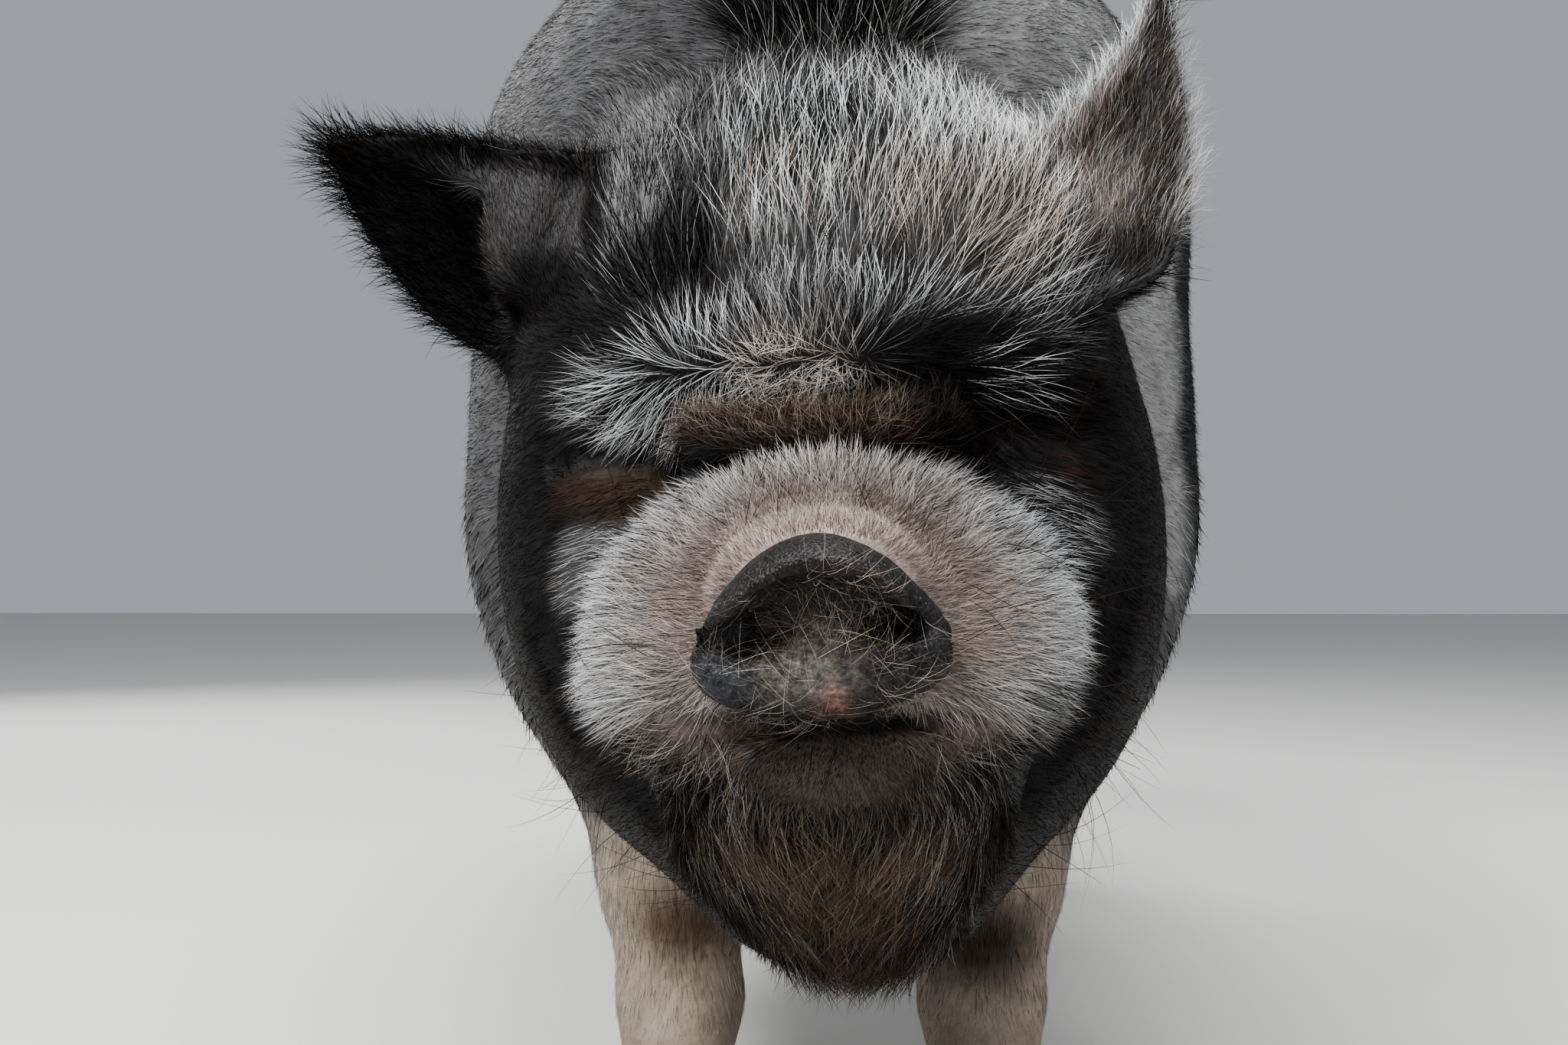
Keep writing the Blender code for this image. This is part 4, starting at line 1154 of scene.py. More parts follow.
TRIMS = (
    # Round the snout, in the mouth and below the lower lip.
    Trim((-0.002, -0.556, 0.228), (0.046, 0.04, 0.035), 0.6, 1.3),
    Trim((-0.002, -0.548, 0.1935), (0.05, 0.05, 0.004), 0.4, 0.2),
    Trim((-0.002, -0.556, 0.226), (0.034, 0.02, 0.025), 0.05, 0.0, 0.1),
    # Between the lids, and in the creases above and below the bridge of the nose.
    Trim((-0.072, -0.474, 0.2745), (0.017, 0.02, 0.0035), 0.3, 0.1),
    Trim((0.067, -0.478, 0.282), (0.015, 0.02, 0.0025), 0.5, 0.4),
    Trim((-0.004, -0.5, 0.2965), (0.05, 0.03, 0.0022), 0.5, 0.3),
    Trim((-0.004, -0.505, 0.2765), (0.04, 0.03, 0.002), 0.5, 0.3),
    # Above the coronets, so that no hair reaches the floor.
    *(Trim((side * x, y, 0.02), (0.07, 0.07, 0.03), 0.45)
      for x, y in ((0.066, -0.28), (0.096, 0.39)) for side in (-1, 1)),
)

# Long dark feelers, sparse among the other hairs.
FEELERS = (
    Zone("none", 0.0, 0.03, 0.005, 30, everywhere(1e-3), heading(0, 0, -1)),
    Zone("muzzle", 0.5, 0.046, 0.0065, 42,
         near((0, -0.52, 0.235), (0.085, 0.08, 0.05), 0.2), away_from(*SNOUT, 0.3), 1.6, 2.5, 5),
    Zone("jowl", 0.65, 0.04, 0.0065, 40,
         near((0, -0.47, 0.165), (0.095, 0.08, 0.035)), heading(0.8, 0.0, -0.6), 1.6, 2.5, 5),
    Zone("brow", 0.5, 0.036, 0.0075, 46,
         near((0, -0.48, 0.303), (0.085, 0.04, 0.018)), heading(0.5, 0.0, -0.5), 1.6, 2.5),
)


class SkinPiece:
    """The skin object with the attributes that its material and coat read."""

    # The hairs at an ear's rim: how much longer, from where, and how much they fan out.
    rim_gain = 0.8
    rim_range = (0.7, 0.95)
    rim_side = 0.85
    fan = 0.9
    # The unwrap: tiles in a row, the gap round each, and which low faces are a leg's.
    tiles = 5
    gutter = 0.03
    leg_top = 0.15
    hind_from = 0.1
    replaced = ("head", "lower_jaw", "neck", "torso", "tail", "ear_left", "ear_right",
                "foreleg_left", "foreleg_right", "hindleg_left", "hindleg_right")

    def __init__(self, flesh: Flesh, markings: Markings) -> None:
        """Keeps what the skin is made from."""
        self.flesh = flesh
        self.markings = markings

    def build(self) -> Object:
        """The skin in the frame's place, with tones, coat sizes and its own unwrap."""
        piece = self.flesh.skin()
        points = vertices_of(piece.data)
        tones = self.markings.painted(points)
        store(piece.data, "hide", Layer.COLOUR, tones["hide"])
        store(piece.data, "hair_tone", Layer.COLOUR, tones["hair"])
        store(piece.data, "other_tone", Layer.COLOUR, tones["other"])
        store(piece.data, "other_share", Layer.NUMBER, tones["share"])
        self.coat_sizes(piece.data, points, ZONES + (EAR_ZONE,))
        self.unwrap(piece.data)
        return placed(piece)

    def on_ears(self, points: Array, weights: Array, lies: Array) -> Array:
        """Gives the last zone to the ears, and says how much longer the hairs of their rims are.

        Args:
            points: Places in the posed animal.
            weights: Weight of each zone, changed here.
            lies: Lie of each zone, changed here.

        Returns:
            The gain in length at each point.
        """
        longer = np.ones(len(points))
        for shape in self.flesh.ears.values():
            worn, share, turn = shape.worn(points)
            along, across, _ = (np.array(axis) for axis in shape.ear.axes())
            weights *= 1 - worn[:, None]
            weights[:, -1] = np.maximum(weights[:, -1], worn)
            aside = self.fan * (np.abs(turn) * turn)[:, None] * across
            lies[:, -1] += worn[:, None] * (along + aside)
            rim = smooth_step(np.maximum(self.rim_side * np.abs(turn), share), *self.rim_range)
            longer += worn * self.rim_gain * rim
        return longer

    def coat_sizes(self, mesh: Mesh, points: Array, zones: tuple[Zone, ...]) -> None:
        """Stores length, stance, number and lie of the hairs, and each face's zone.

        Args:
            mesh: Takes the attributes.
            points: Its vertices in the posed animal.
            zones: The zones to store, in order.
        """
        weights = np.zeros((len(points), len(zones)))
        lies = np.zeros((len(points), len(zones), 3))
        for index, zone in enumerate(zones):
            if zone is not EAR_ZONE:
                weights[:, index] = np.maximum(zone.weight(points), 0)
                weights[:, :index] *= 1 - weights[:, index:index + 1]
                lies[:, index] = zone.lie(points)
        longer = self.on_ears(points, weights, lies) if zones[-1] is EAR_ZONE else 1.0
        weights[:, 0] += 1e-4
        weights /= weights.sum(axis=1, keepdims=True)
        lie = (weights[:, :, None] * lies).sum(axis=1)
        lie /= np.maximum(lengths(lie), 1e-6)[:, None]
        length = weights @ np.array([zone.length for zone in zones]) * longer
        number = weights @ np.array([zone.per_cm2 * 1e4 for zone in zones])
        for trim in TRIMS:
            part = near(trim.centre, trim.radii, trim.edge)(points)
            length = length * (1 + (trim.length - 1) * part)
            number = number * (1 + (trim.number - 1) * part)
        rise = weights @ np.array([math.radians(zone.rise) for zone in zones])
        for name, values in (("hair_length", length), ("hair_number", number), ("hair_rise", rise)):
            store(mesh, name, Layer.NUMBER, values)
        store(mesh, "lie", Layer.VECTOR, lie)
        zone_of = np.argmax(weights, axis=1)
        first = read(mesh.loops, "vertex_index")[read(mesh.polygons, "loop_start")]
        store(mesh, "zone", Layer.INDEX, zone_of[first], "FACE")

    def with_feelers(self, skin: Object) -> Mesh:
        """A copy of the skin whose attributes are those of the long dark feelers.

        Args:
            skin: The skin piece.

        Returns:
            The copy.
        """
        mesh = skin.data.copy()
        points = vertices_of(mesh) - np.array(SHIFT)
        self.coat_sizes(mesh, points, FEELERS)
        for name in ("hair_tone", "other_tone"):
            store(mesh, name, Layer.COLOUR, np.tile(UMBER.value, (len(points), 1)))
        return mesh

    def unwrap(self, mesh: Mesh) -> None:
        """Lays each part's faces out flat by the way that they look, each group on its tile.

        Args:
            mesh: Takes the map.
        """
        centres = read(mesh.polygons, "center", 3, np.float32)
        normals = read(mesh.polygons, "normal", 3, np.float32)
        axis = np.argmax(np.abs(normals), axis=1)
        looks = axis * 2 + (normals[np.arange(len(normals)), axis] > 0)
        part = np.where(self.flesh.ahead(centres) > 0, 0, 1)
        leg = (part == 1) & (centres[:, 2] < self.leg_top)
        part = np.where(leg, 2 + (centres[:, 1] > self.hind_from), part)
        group = part * 6 + looks
        loop_group = np.repeat(group, read(mesh.polygons, "loop_total"))
        places = vertices_of(mesh)[read(mesh.loops, "vertex_index")]
        flat = np.zeros_like(places)
        for number in np.unique(group):
            mine = loop_group == number
            keep = [i for i in range(3) if i != (number % 6) // 2]
            found = places[mine][:, keep]
            low, span = found.min(axis=0), np.ptp(found, axis=0).max()
            corner = np.array(divmod(int(number), self.tiles)) + self.gutter
            flat[mine, :2] = (corner + (1 - 2 * self.gutter) * (found - low) / span) / self.tiles
        store(mesh, "root_uv", Layer.VECTOR, flat, "CORNER")


def shader(name: str) -> tuple[Material, NodeTree, Node]:
    """A new material with its tree and its main shader."""
    material = bpy.data.materials.new(name)
    material.use_nodes = True
    tree = material.node_tree
    return material, tree, tree.nodes["Principled BSDF"]


def fill(tree: NodeTree, node: Node, inputs: dict) -> None:
    """Links a node's inputs to sockets, or gives them plain values.

    Args:
        tree: The node's tree.
        node: The node.
        inputs: Its sockets or values by input.
    """
    for key, value in inputs.items():
        if isinstance(value, NodeSocket):
            tree.links.new(value, node.inputs[key])
        else:
            node.inputs[key].default_value = value


def added(tree: NodeTree, kind: str, inputs: Optional[dict] = None, **settings: object) -> Node:
    """A new node with its settings and its inputs, each a plain value or a socket to link.

    Args:
        tree: Takes the node.
        kind: Blender's name for it.
        inputs: Its sockets or values by input.
        settings: Its properties.

    Returns:
        The node.
    """
    node = tree.nodes.new(kind)
    for key, value in settings.items():
        setattr(node, key, value)
    fill(tree, node, inputs or {})
    return node


def multiplied(tree: NodeTree, first: NodeSocket, second: NodeSocket) -> NodeSocket:
    """The product of two colours."""
    return added(tree, "ShaderNodeMix", {0: 1.0, 6: first, 7: second}, data_type="RGBA",
                 blend_type="MULTIPLY").outputs[2]


def tone_of(tree: NodeTree, name: str) -> NodeSocket:
    """The colour that a mesh stores under this name."""
    return added(tree, "ShaderNodeAttribute", attribute_name=name).outputs["Color"]


def place_in(tree: NodeTree) -> NodeSocket:
    """Places in the object's own space."""
    return added(tree, "ShaderNodeTexCoord").outputs["Object"]


def noise(tree: NodeTree, place: NodeSocket, scale: float, detail: float,
          **inputs: float) -> NodeSocket:
    """The strength of a noise texture."""
    values = {"Vector": place, "Scale": scale, "Detail": detail, **inputs}
    return added(tree, "ShaderNodeTexNoise", values).outputs["Fac"]


def cells(tree: NodeTree, place: NodeSocket, scale: float) -> NodeSocket:
    """The distance to the middle of each cell of a cell texture."""
    node = added(tree, "ShaderNodeTexVoronoi", {"Vector": place, "Scale": scale})
    return node.outputs["Distance"]


def spread(tree: NodeTree, value: NodeSocket, start: tuple[float, float],
           end: tuple[float, float]) -> NodeSocket:
    """Carries one range of values to another."""
    return added(tree, "ShaderNodeMapRange", {
        "Value": value, "From Min": start[0], "From Max": start[1], "To Min": end[0],
        "To Max": end[1]}).outputs["Result"]


def bump(tree: NodeTree, height: NodeSocket, strength: float, depth: float,
         **under: NodeSocket) -> NodeSocket:
    """A bumped normal, over another where one is given."""
    values = {"Height": height, "Strength": strength, "Distance": depth, **under}
    return added(tree, "ShaderNodeBump", values).outputs["Normal"]


def ramp(tree: NodeTree, value: NodeSocket, low: Triple, high: Triple) -> NodeSocket:
    """A colour between two."""
    node = added(tree, "ShaderNodeValToRGB", {"Fac": value})
    for element, tone in zip(node.color_ramp.elements, (low, high)):
        element.color = (*tone, 1)
    return node.outputs["Color"]


@dataclass(frozen=True)
class HideFinish:
    """Bare pig skin: the tone of its marking, fine wrinkles and pores."""

    roughness: float = 0.6
    gloss: float = 0.15
    mottle: float = 55.0
    wrinkle: float = 160.0
    pore: float = 620.0

    def material(self) -> Material:
        """The finish as a material."""
        made, tree, main = shader("hide")
        place = place_in(tree)
        mottle = spread(tree, noise(tree, place, self.mottle, 6.0, Roughness=0.65), (0.25, 0.75),
                        (0.62, 1.35))
        wrinkles = bump(tree, noise(tree, place, self.wrinkle, 4.0, Distortion=0.6), 0.55, 0.0016)
        pores = bump(tree, cells(tree, place, self.pore), 0.35, 0.0005, Normal=wrinkles)
        fill(tree, main, {"Base Color": multiplied(tree, tone_of(tree, "hide"), mottle),
                          "Normal": pores, "Roughness": self.roughness,
                          "Specular IOR Level": self.gloss})
        return made


@dataclass(frozen=True)
class HairFinish:
    """Coarse bristle, with painted shade that darkens it towards the root."""

    roughness: float = 0.58
    gloss: float = 0.12
    # The colour's scale at root and tip; the darkening towards the root is painted shade among the
    # hairs.
    root: float = 0.4
    tip: float = 1.12

    def material(self) -> Material:
        """The finish as a material."""
        made, tree, main = shader("bristle")
        shaft = added(tree, "ShaderNodeAttribute", attribute_name="shaft").outputs["Fac"]
        # Painted shade: the hair darkens from tip to root.
        root_shade = spread(tree, shaft, (0, 1), (self.root, self.tip))
        fill(tree, main, {"Base Color": multiplied(tree, tone_of(tree, "hair_tone"), root_shade),
                          "Roughness": self.roughness, "Specular IOR Level": self.gloss})
        return made


@dataclass(frozen=True)
class Strand:
    """One bristle of unit length along +Y, lifted along +Z, bent and tapered to its tip."""

    slender: float
    bend: float
    side_bend: float
    segments: int = 2
    taper: float = 0.8
    corners: int = 3

    def build(self, name: str) -> Object:
        """The bristle as a mesh with `shaft` from root to tip and a map of its own.

        Args:
            name: What the object is called.

        Returns:
            The bristle.
        """
        cage = bmesh.new()
        shaft = cage.verts.layers.float.new("shaft")
        local = cage.verts.layers.float_vector.new("local_uv")
        rings = []
        for step in range(self.segments + 1):
            share = step / self.segments
            wide = self.slender / 2 * (1 - self.taper * share ** 1.3)
            middle = Vector((self.side_bend * share ** 2, share, -self.bend * share ** 2))
            corners = 1 if step == self.segments else self.corners
            ring = []
            for corner in range(corners):
                angle = 2 * math.pi * corner / self.corners + math.pi / 2
                out = Vector((math.cos(angle), 0, math.sin(angle))) * (wide if corners > 1 else 0)
                vertex = cage.verts.new(middle + out)
                vertex[shaft] = share
                vertex[local] = Vector((corner / self.corners - 0.5, share - 0.5, 0))
                ring.append(vertex)
            rings.append(ring)
        lofted(cage, rings)
        cage.faces.new(list(reversed(rings[0])))
        bmesh.ops.recalc_face_normals(cage, faces=cage.faces)
        made = linked_cage(name, cage)
        made.data.shade_smooth()
        return made


class CoatTree:
    """Geometry Nodes that grow one zone's hairs on the skin."""

    inputs = {"Zone": "Int", "Number": "Float", "Seed": "Int", "Strands": "Collection",
              "Kinds": "Int", "Length": "Float", "Uneven": "Float", "Wander": "Float",
              "Finish": "Material"}
    clump = 70.0
    clump_swing = 2.2
    rise_range = (0.55, 1.45)
    shade_range = (0.45, 1.4)

    def __init__(self) -> None:
        """Builds the tree and notes the identifier of each named input."""
        self.tree = bpy.data.node_groups.new("Coat", "GeometryNodeTree")
        self.tree.is_modifier = True
        self.ids: dict[str, str] = {}
        sockets = self.tree.interface
        for way in ("INPUT", "OUTPUT"):
            sockets.new_socket("Geometry", in_out=way, socket_type="NodeSocketGeometry")
        for name, kind in self.inputs.items():
            made = sockets.new_socket(name, in_out="INPUT", socket_type=f"NodeSocket{kind}")
            self.ids[name] = made.identifier
        self.given = self.tree.nodes.new("NodeGroupInput").outputs
        self.wire()

    def add(self, kind: str, inputs: Optional[dict] = None, **settings: object) -> Node:
        """A new node of the tree."""
        return added(self.tree, kind, inputs, **settings)

    def attribute(self, name: str, kind: str = "FLOAT") -> NodeSocket:
        """Reads an attribute of the skin."""
        node = self.add("GeometryNodeInputNamedAttribute", {"Name": name}, data_type=kind)
        return next(socket for socket in node.outputs
                    if socket.enabled and socket.name == "Attribute")

    def maths(self, operation: str, first: object, second: object) -> NodeSocket:
        """One sum of two sockets or numbers."""
        return self.add("ShaderNodeMath", {0: first, 1: second}, operation=operation).outputs[0]

    def product(self, first: object, *others: object) -> NodeSocket:
        """The product of a few sockets or numbers."""
        for other in others:
            first = self.maths("MULTIPLY", first, other)
        return first

    def draw(self, low: float, high: float, salt: int) -> NodeSocket:
        """A random number for each hair."""
        seed = self.maths("ADD", self.given["Seed"], salt)
        return self.add("FunctionNodeRandomValue", {2: low, 3: high, "Seed": seed},
                        data_type="FLOAT").outputs[1]

    def stored(self, geometry: NodeSocket, name: str, kind: str, domain: str,
               value: NodeSocket) -> NodeSocket:
        """Stores an attribute and passes the geometry on.

        Args:
            geometry: Takes the attribute.
            name: What it is called.
            kind: Type of its values.
            domain: Where it is stored.
            value: The values.

        Returns:
            The geometry with it.
        """
        node = self.add("GeometryNodeStoreNamedAttribute", {"Geometry": geometry, "Name": name},
                        data_type=kind, domain=domain)
        target = next(socket for socket in node.inputs if socket.enabled and socket.name == "Value")
        self.tree.links.new(value, target)
        return node.outputs["Geometry"]

    def roots(self) -> tuple[NodeSocket, NodeSocket]:
        """Root points of the zone and the skin's way out at each."""
        same = self.add("FunctionNodeCompare",
                        {2: self.attribute("zone", "INT"), 3: self.given["Zone"]},
                        data_type="INT", operation="EQUAL")
        points = self.add("GeometryNodeDistributePointsOnFaces", {
            "Mesh": self.given["Geometry"], "Selection": same.outputs[0],
            "Density": self.product(self.attribute("hair_number"), self.given["Number"]),
            "Seed": self.given["Seed"]}, distribute_method="RANDOM")
        return points.outputs["Points"], points.outputs["Normal"]

    def stance(self, out: NodeSocket) -> NodeSocket:
        """The turn of each hair: along its lie, raised, and wandering with its neighbours."""
        axes = self.add("FunctionNodeAxesToRotation", {
            "Primary Axis": out, "Secondary Axis": self.attribute("lie", "FLOAT_VECTOR")},
            primary_axis="Z", secondary_axis="Y")
        place = self.add("GeometryNodeInputPosition").outputs[0]
        swell = noise(self.tree, place, self.clump, 1.0)
        swing = self.product(self.maths("SUBTRACT", swell, 0.5), self.clump_swing)
        swing = self.maths("ADD", swing, self.draw(-0.5, 0.5, 1))
        swing = self.product(swing, self.given["Wander"])
        rise = self.product(self.attribute("hair_rise"), self.draw(*self.rise_range, 2))
        turn = self.add("ShaderNodeCombineXYZ", {"X": rise, "Z": swing})
        euler = self.add("FunctionNodeEulerToRotation", {0: turn.outputs[0]})
        return self.add("FunctionNodeRotateRotation", {
            "Rotation": axes.outputs[0], "Rotate By": euler.outputs[0]},
            rotation_space="LOCAL").outputs[0]

    def toned(self, points: NodeSocket) -> NodeSocket:
        """Gives each hair one of its zone's two tones, a little lighter or darker.

        Args:
            points: Roots of the hairs.

        Returns:
            The same points with their tones.
        """
        chosen = self.add("FunctionNodeCompare",
                          {0: self.draw(0.0, 1.0, 3), 1: self.attribute("other_share")},
                          data_type="FLOAT", operation="LESS_THAN")
        pick = self.add("ShaderNodeMix", {0: chosen.outputs[0],
                                          6: self.attribute("hair_tone", "FLOAT_COLOR"),
                                          7: self.attribute("other_tone", "FLOAT_COLOR")},
                        data_type="RGBA")
        shade = multiplied(self.tree, pick.outputs[2], self.draw(*self.shade_range, 4))
        return self.stored(points, "hair_tone", "FLOAT_COLOR", "POINT", shade)

    def mapped(self, geometry: NodeSocket) -> NodeSocket:
        """Stores a bake map that lays each hair on a small patch at its root's place.

        Args:
            geometry: The hairs.

        Returns:
            The hairs with their map.
        """
        small = self.add("ShaderNodeVectorMath", {
            0: self.attribute("local_uv", "FLOAT_VECTOR"), "Scale": PATCH}, operation="SCALE")
        spot = self.add("ShaderNodeVectorMath", {
            0: self.attribute("root_uv", "FLOAT_VECTOR"), 1: small.outputs[0]}, operation="ADD")
        return self.stored(geometry, BAKE_MAP, "FLOAT2", "CORNER", spot.outputs[0])

    def wire(self) -> None:
        """Joins roots, stance, tone and strands, and makes the instances real."""
        points, out = self.roots()
        rotation = self.stance(out)
        strands = self.add("GeometryNodeCollectionInfo", {
            "Collection": self.given["Strands"], "Separate Children": True,
            "Reset Children": True}, transform_space="ORIGINAL")
        kind = self.product(self.draw(0.0, 0.999, 5), self.given["Kinds"])
        uneven = self.maths("ADD", self.product(self.draw(-1.0, 1.0, 6), self.given["Uneven"]), 1.0)
        length = self.product(self.attribute("hair_length"), uneven, self.given["Length"])
        hairs = self.add("GeometryNodeInstanceOnPoints", {
            "Points": self.toned(points), "Instance": strands.outputs[0], "Pick Instance": True,
            "Instance Index": self.maths("FLOOR", kind, 0.0), "Rotation": rotation,
            "Scale": length})
        real = self.add("GeometryNodeRealizeInstances", {0: hairs.outputs[0]})
        finish = self.add("GeometryNodeSetMaterial", {
            "Geometry": self.mapped(real.outputs[0]), "Material": self.given["Finish"]})
        self.add("NodeGroupOutput", {"Geometry": finish.outputs[0]})


class Coat:
    """Grows the coat, one piece for each zone."""

    spare = ("lie", "zone", "root_uv", "local_uv", "hair_length", "hair_rise", "hair_number",
             "other_tone", "other_share", "hide")
    # How far each kind of strand bends down and aside, and how uneven the lengths are.
    bends = ((0.1, -0.1), (0.16, 0.02), (0.22, 0.12), (0.05, 0.06))
    uneven = 0.3

    def __init__(self) -> None:
        """Builds the tree that all zones share."""
        self.growth = CoatTree()

    def strands(self, zone: Zone) -> Collection:
        """A zone's few kinds of strand.

        Args:
            zone: The zone's own sizes.

        Returns:
            The strands in a collection.
        """
        group = bpy.data.collections.new(f"strands {zone.name}")
        for number, (down, side) in enumerate(self.bends):
            strand = Strand(zone.slender, down * zone.curl, side * zone.curl, zone.segments)
            made = strand.build(f"strand_{number}")
            bpy.context.scene.collection.objects.unlink(made)
            group.objects.link(made)
        return group

    def grow(self, name: str, skin: Mesh, number: int, zone: Zone,
             finish: Material, seed: int) -> Object:
        """One zone's hairs on a skin, as a plain mesh.

        Args:
            name: What the piece is called.
            skin: Mesh with the attributes that the tree reads.
            number: Which of the skin's zones it is.
            zone: The zone's own sizes.
            finish: Material of the hairs.
            seed: Changes the draws.

        Returns:
            The piece of coat.
        """
        group = self.strands(zone)
        source = linked("source", skin)
        modifier = source.modifiers.new("Coat", "NODES")
        modifier.node_group = self.growth.tree
        values = {"Zone": number, "Number": 1.0, "Seed": seed, "Strands": group,
                  "Kinds": len(self.bends), "Length": 1.0, "Uneven": self.uneven,
                  "Wander": zone.wander, "Finish": finish}
        for socket, value in values.items():
            modifier[self.growth.ids[socket]] = value
        graph = bpy.context.evaluated_depsgraph_get()
        mesh = bpy.data.meshes.new_from_object(source.evaluated_get(graph))
        source.modifiers.clear()
        bpy.data.objects.remove(source, do_unlink=True)
        for strand in list(group.objects):
            bpy.data.objects.remove(strand, do_unlink=True)
        bpy.data.collections.remove(group)
        for spare in self.spare:
            layer = mesh.attributes.get(spare)
            if layer is not None:
                mesh.attributes.remove(layer)
        return linked(name, mesh)


@dataclass(frozen=True)
class Swell:
    """A rise or, below zero, a hollow of the disc's face, and the tone that it takes.

    Places and half sizes are across and up the face. `power` is 2 for a soft dome and more for
    a flat one with a steep edge.
    """

    place: tuple[float, float]
    half: tuple[float, float]
    height: float
    tone: Triple
    tint: float = 1.0
    power: float = 2.0
    tilt: float = 0.0

    def share(self, across: Array, up: Array) -> Array:
        """1 in its middle and 0 well away from it.

        Args:
            across: Places across the face.
            up: Places up the face.

        Returns:
            One share for each place.
        """
        x, y = across - self.place[0], up - self.place[1]
        turned = x * math.cos(self.tilt) + y * math.sin(self.tilt)
        other = y * math.cos(self.tilt) - x * math.sin(self.tilt)
        reach = np.sqrt((turned / self.half[0]) ** 2 + (other / self.half[1]) ** 2)
        return np.exp(-reach ** self.power)


@dataclass
class SnoutDisc:
    """The rooting disc: a tough plate, hooded above, with deep nostrils and a dusty middle."""

    centre: Triple = (0.0, -0.556, 0.222)
    pitch: float = math.radians(22)
    half: Triple = (0.0375, 0.029, 0.009)
    back: float = 0.017
    lean_in: float = 0.22
    corner: float = 0.007
    narrowing: float = 0.28
    hood: float = 0.004
    hood_at: float = 0.9
    hood_half: float = 0.095
    voxel: float = 0.00085
    hood_rise: tuple[float, float] = (0.002, 0.02)
    bristles = Zone("snout", 24.0, 0.01, 0.0135, 52, everywhere(1.0), heading(0.6, 0.0, 0.6),
                    3.2, 7.0, 5)
    light_share = 0.3
    # The height and width of each swell of the grain, and its seed.
    grain = ((0.00045, 0.0022, 9), (0.0008, 0.006, 8))
    # The level of the dust, its limits, and the width, weight and seed of its swells.
    dust_level = 0.75
    dust_range = (0.3, 1.6)
    dust_swells = ((0.0035, 0.55, 5), (0.0012, 0.35, 6))
    # How strongly the hood's tone follows its crest, from which level, and its swells.
    wear, wear_level, wear_swell = 1.3, -0.25, (0.0045, 0.45, 7)
    speck, mottle, pore = 1100.0, 520.0, 900.0
    dust_tone = (0.16, 0.14, 0.11)
    base = (0.01, 0.0095, 0.01)
    hood_tone = (0.022, 0.017, 0.018)
    swells = (
        # The dark arc under the hood and both nostrils, their near-black tones painted shade, then
        # the fleshy wall within each.
        Swell((0.0, 0.0125), (0.022, 0.0085), -0.005, (0.009, 0.008, 0.008), 0.9, 3.0),
        Swell((-0.0216, 0.002), (0.0128, 0.0062), -0.0145, (0.004, 0.003, 0.003), 1.0, 4.0, 0.2),
        Swell((0.0215, 0.0035), (0.01, 0.0052), -0.0145, (0.004, 0.003, 0.003), 1.0, 4.0, -0.25),
        Swell((-0.0155, 0.0), (0.0036, 0.0036), 0.0035, (0.045, 0.026, 0.028), 0.6),
        Swell((0.016, 0.002), (0.0036, 0.0032), 0.0035, (0.045, 0.026, 0.028), 0.6),
        # The bridge between the nostrils, the dome below it, and a lobe on each side.
        Swell((0.0, 0.001), (0.0095, 0.007), 0.002, (0.085, 0.07, 0.055), 0.7),
        Swell((-0.004, -0.011), (0.018, 0.0085), 0.0036, (0.18, 0.165, 0.15), 0.9, 3.0),
        # The pale bluish tone of this lobe is a painted reflection of the sky.
        Swell((-0.0305, -0.0095), (0.0085, 0.008), 0.0034, (0.05, 0.056, 0.07), 0.8, 3.0),
        Swell((0.027, -0.012), (0.012, 0.007), 0.003, (0.016, 0.015, 0.016), 0.8, 3.0),
        Swell((0.035, -0.001), (0.005, 0.0065), 0.0022, (0.032, 0.032, 0.037), 0.8),
        # The pink groove down to the lip.
        Swell((0.003, -0.0205), (0.0045, 0.0075), -0.0016, (0.24, 0.13, 0.105), 0.85),
    )

    def axes(self) -> tuple[Array, Array, Array]:
        """Across the disc, up its face and out along its normal."""
        across = np.array((1.0, 0, 0))
        out = np.array((0, -math.cos(self.pitch), -math.sin(self.pitch)))
        return across, np.cross(out, across), out

    def local(self, points: Array) -> tuple[Array, Array, Array, Array]:
        """Places across, up and out of the disc, and how near the rim each is, 1 at the rim.

        Args:
            points: Places in the posed animal.

        Returns:
            One row of each for every point.
        """
        offset = POSE.squared(points) - np.array(self.centre)
        across, up, out = (offset @ axis for axis in self.axes())
        half_wide, half_high, _ = self.half
        wide = half_wide * (1 - self.narrowing * np.clip(up / half_high, -1, 1))
        return across, up, out, np.sqrt((across / wide) ** 2 + (up / half_high) ** 2)

    def hooded(self, up: Array, reach: Array) -> Array:
        """1 along the crest of the hood, which fades down both sides."""
        ring = np.exp(-((reach - self.hood_at) / self.hood_half) ** 2)
        return ring * smooth_step(up, *self.hood_rise)

    def field(self, points: Array) -> Array:
        """Distance to the disc's skin.

        Args:
            points: Places in the posed animal.

        Returns:
            One distance for each point.
        """
        across, up, out, reach = self.local(points)
        _, half_high, half_thick = self.half
        rim = (reach - 1) * half_high + self.lean_in * np.maximum(-out, 0)
        face = np.where(out > 0, out - half_thick, -out - self.back)
        outside = np.stack((np.maximum(rim + self.corner, 0), np.maximum(face + self.corner, 0)))
        inside = np.minimum(np.maximum(rim + self.corner, face + self.corner), 0)
        whole = np.sqrt((outside ** 2).sum(axis=0)) + inside - self.corner
        rise = self.hood * self.hooded(up, reach)
        for swell in self.swells:
            rise = rise + swell.height * swell.share(across, up)
        for height, width, seed in self.grain:
            rise = rise + height * lattice_noise(points, width, seed)
        return whole - rise * np.clip((out + self.back) / self.back, 0, 1)

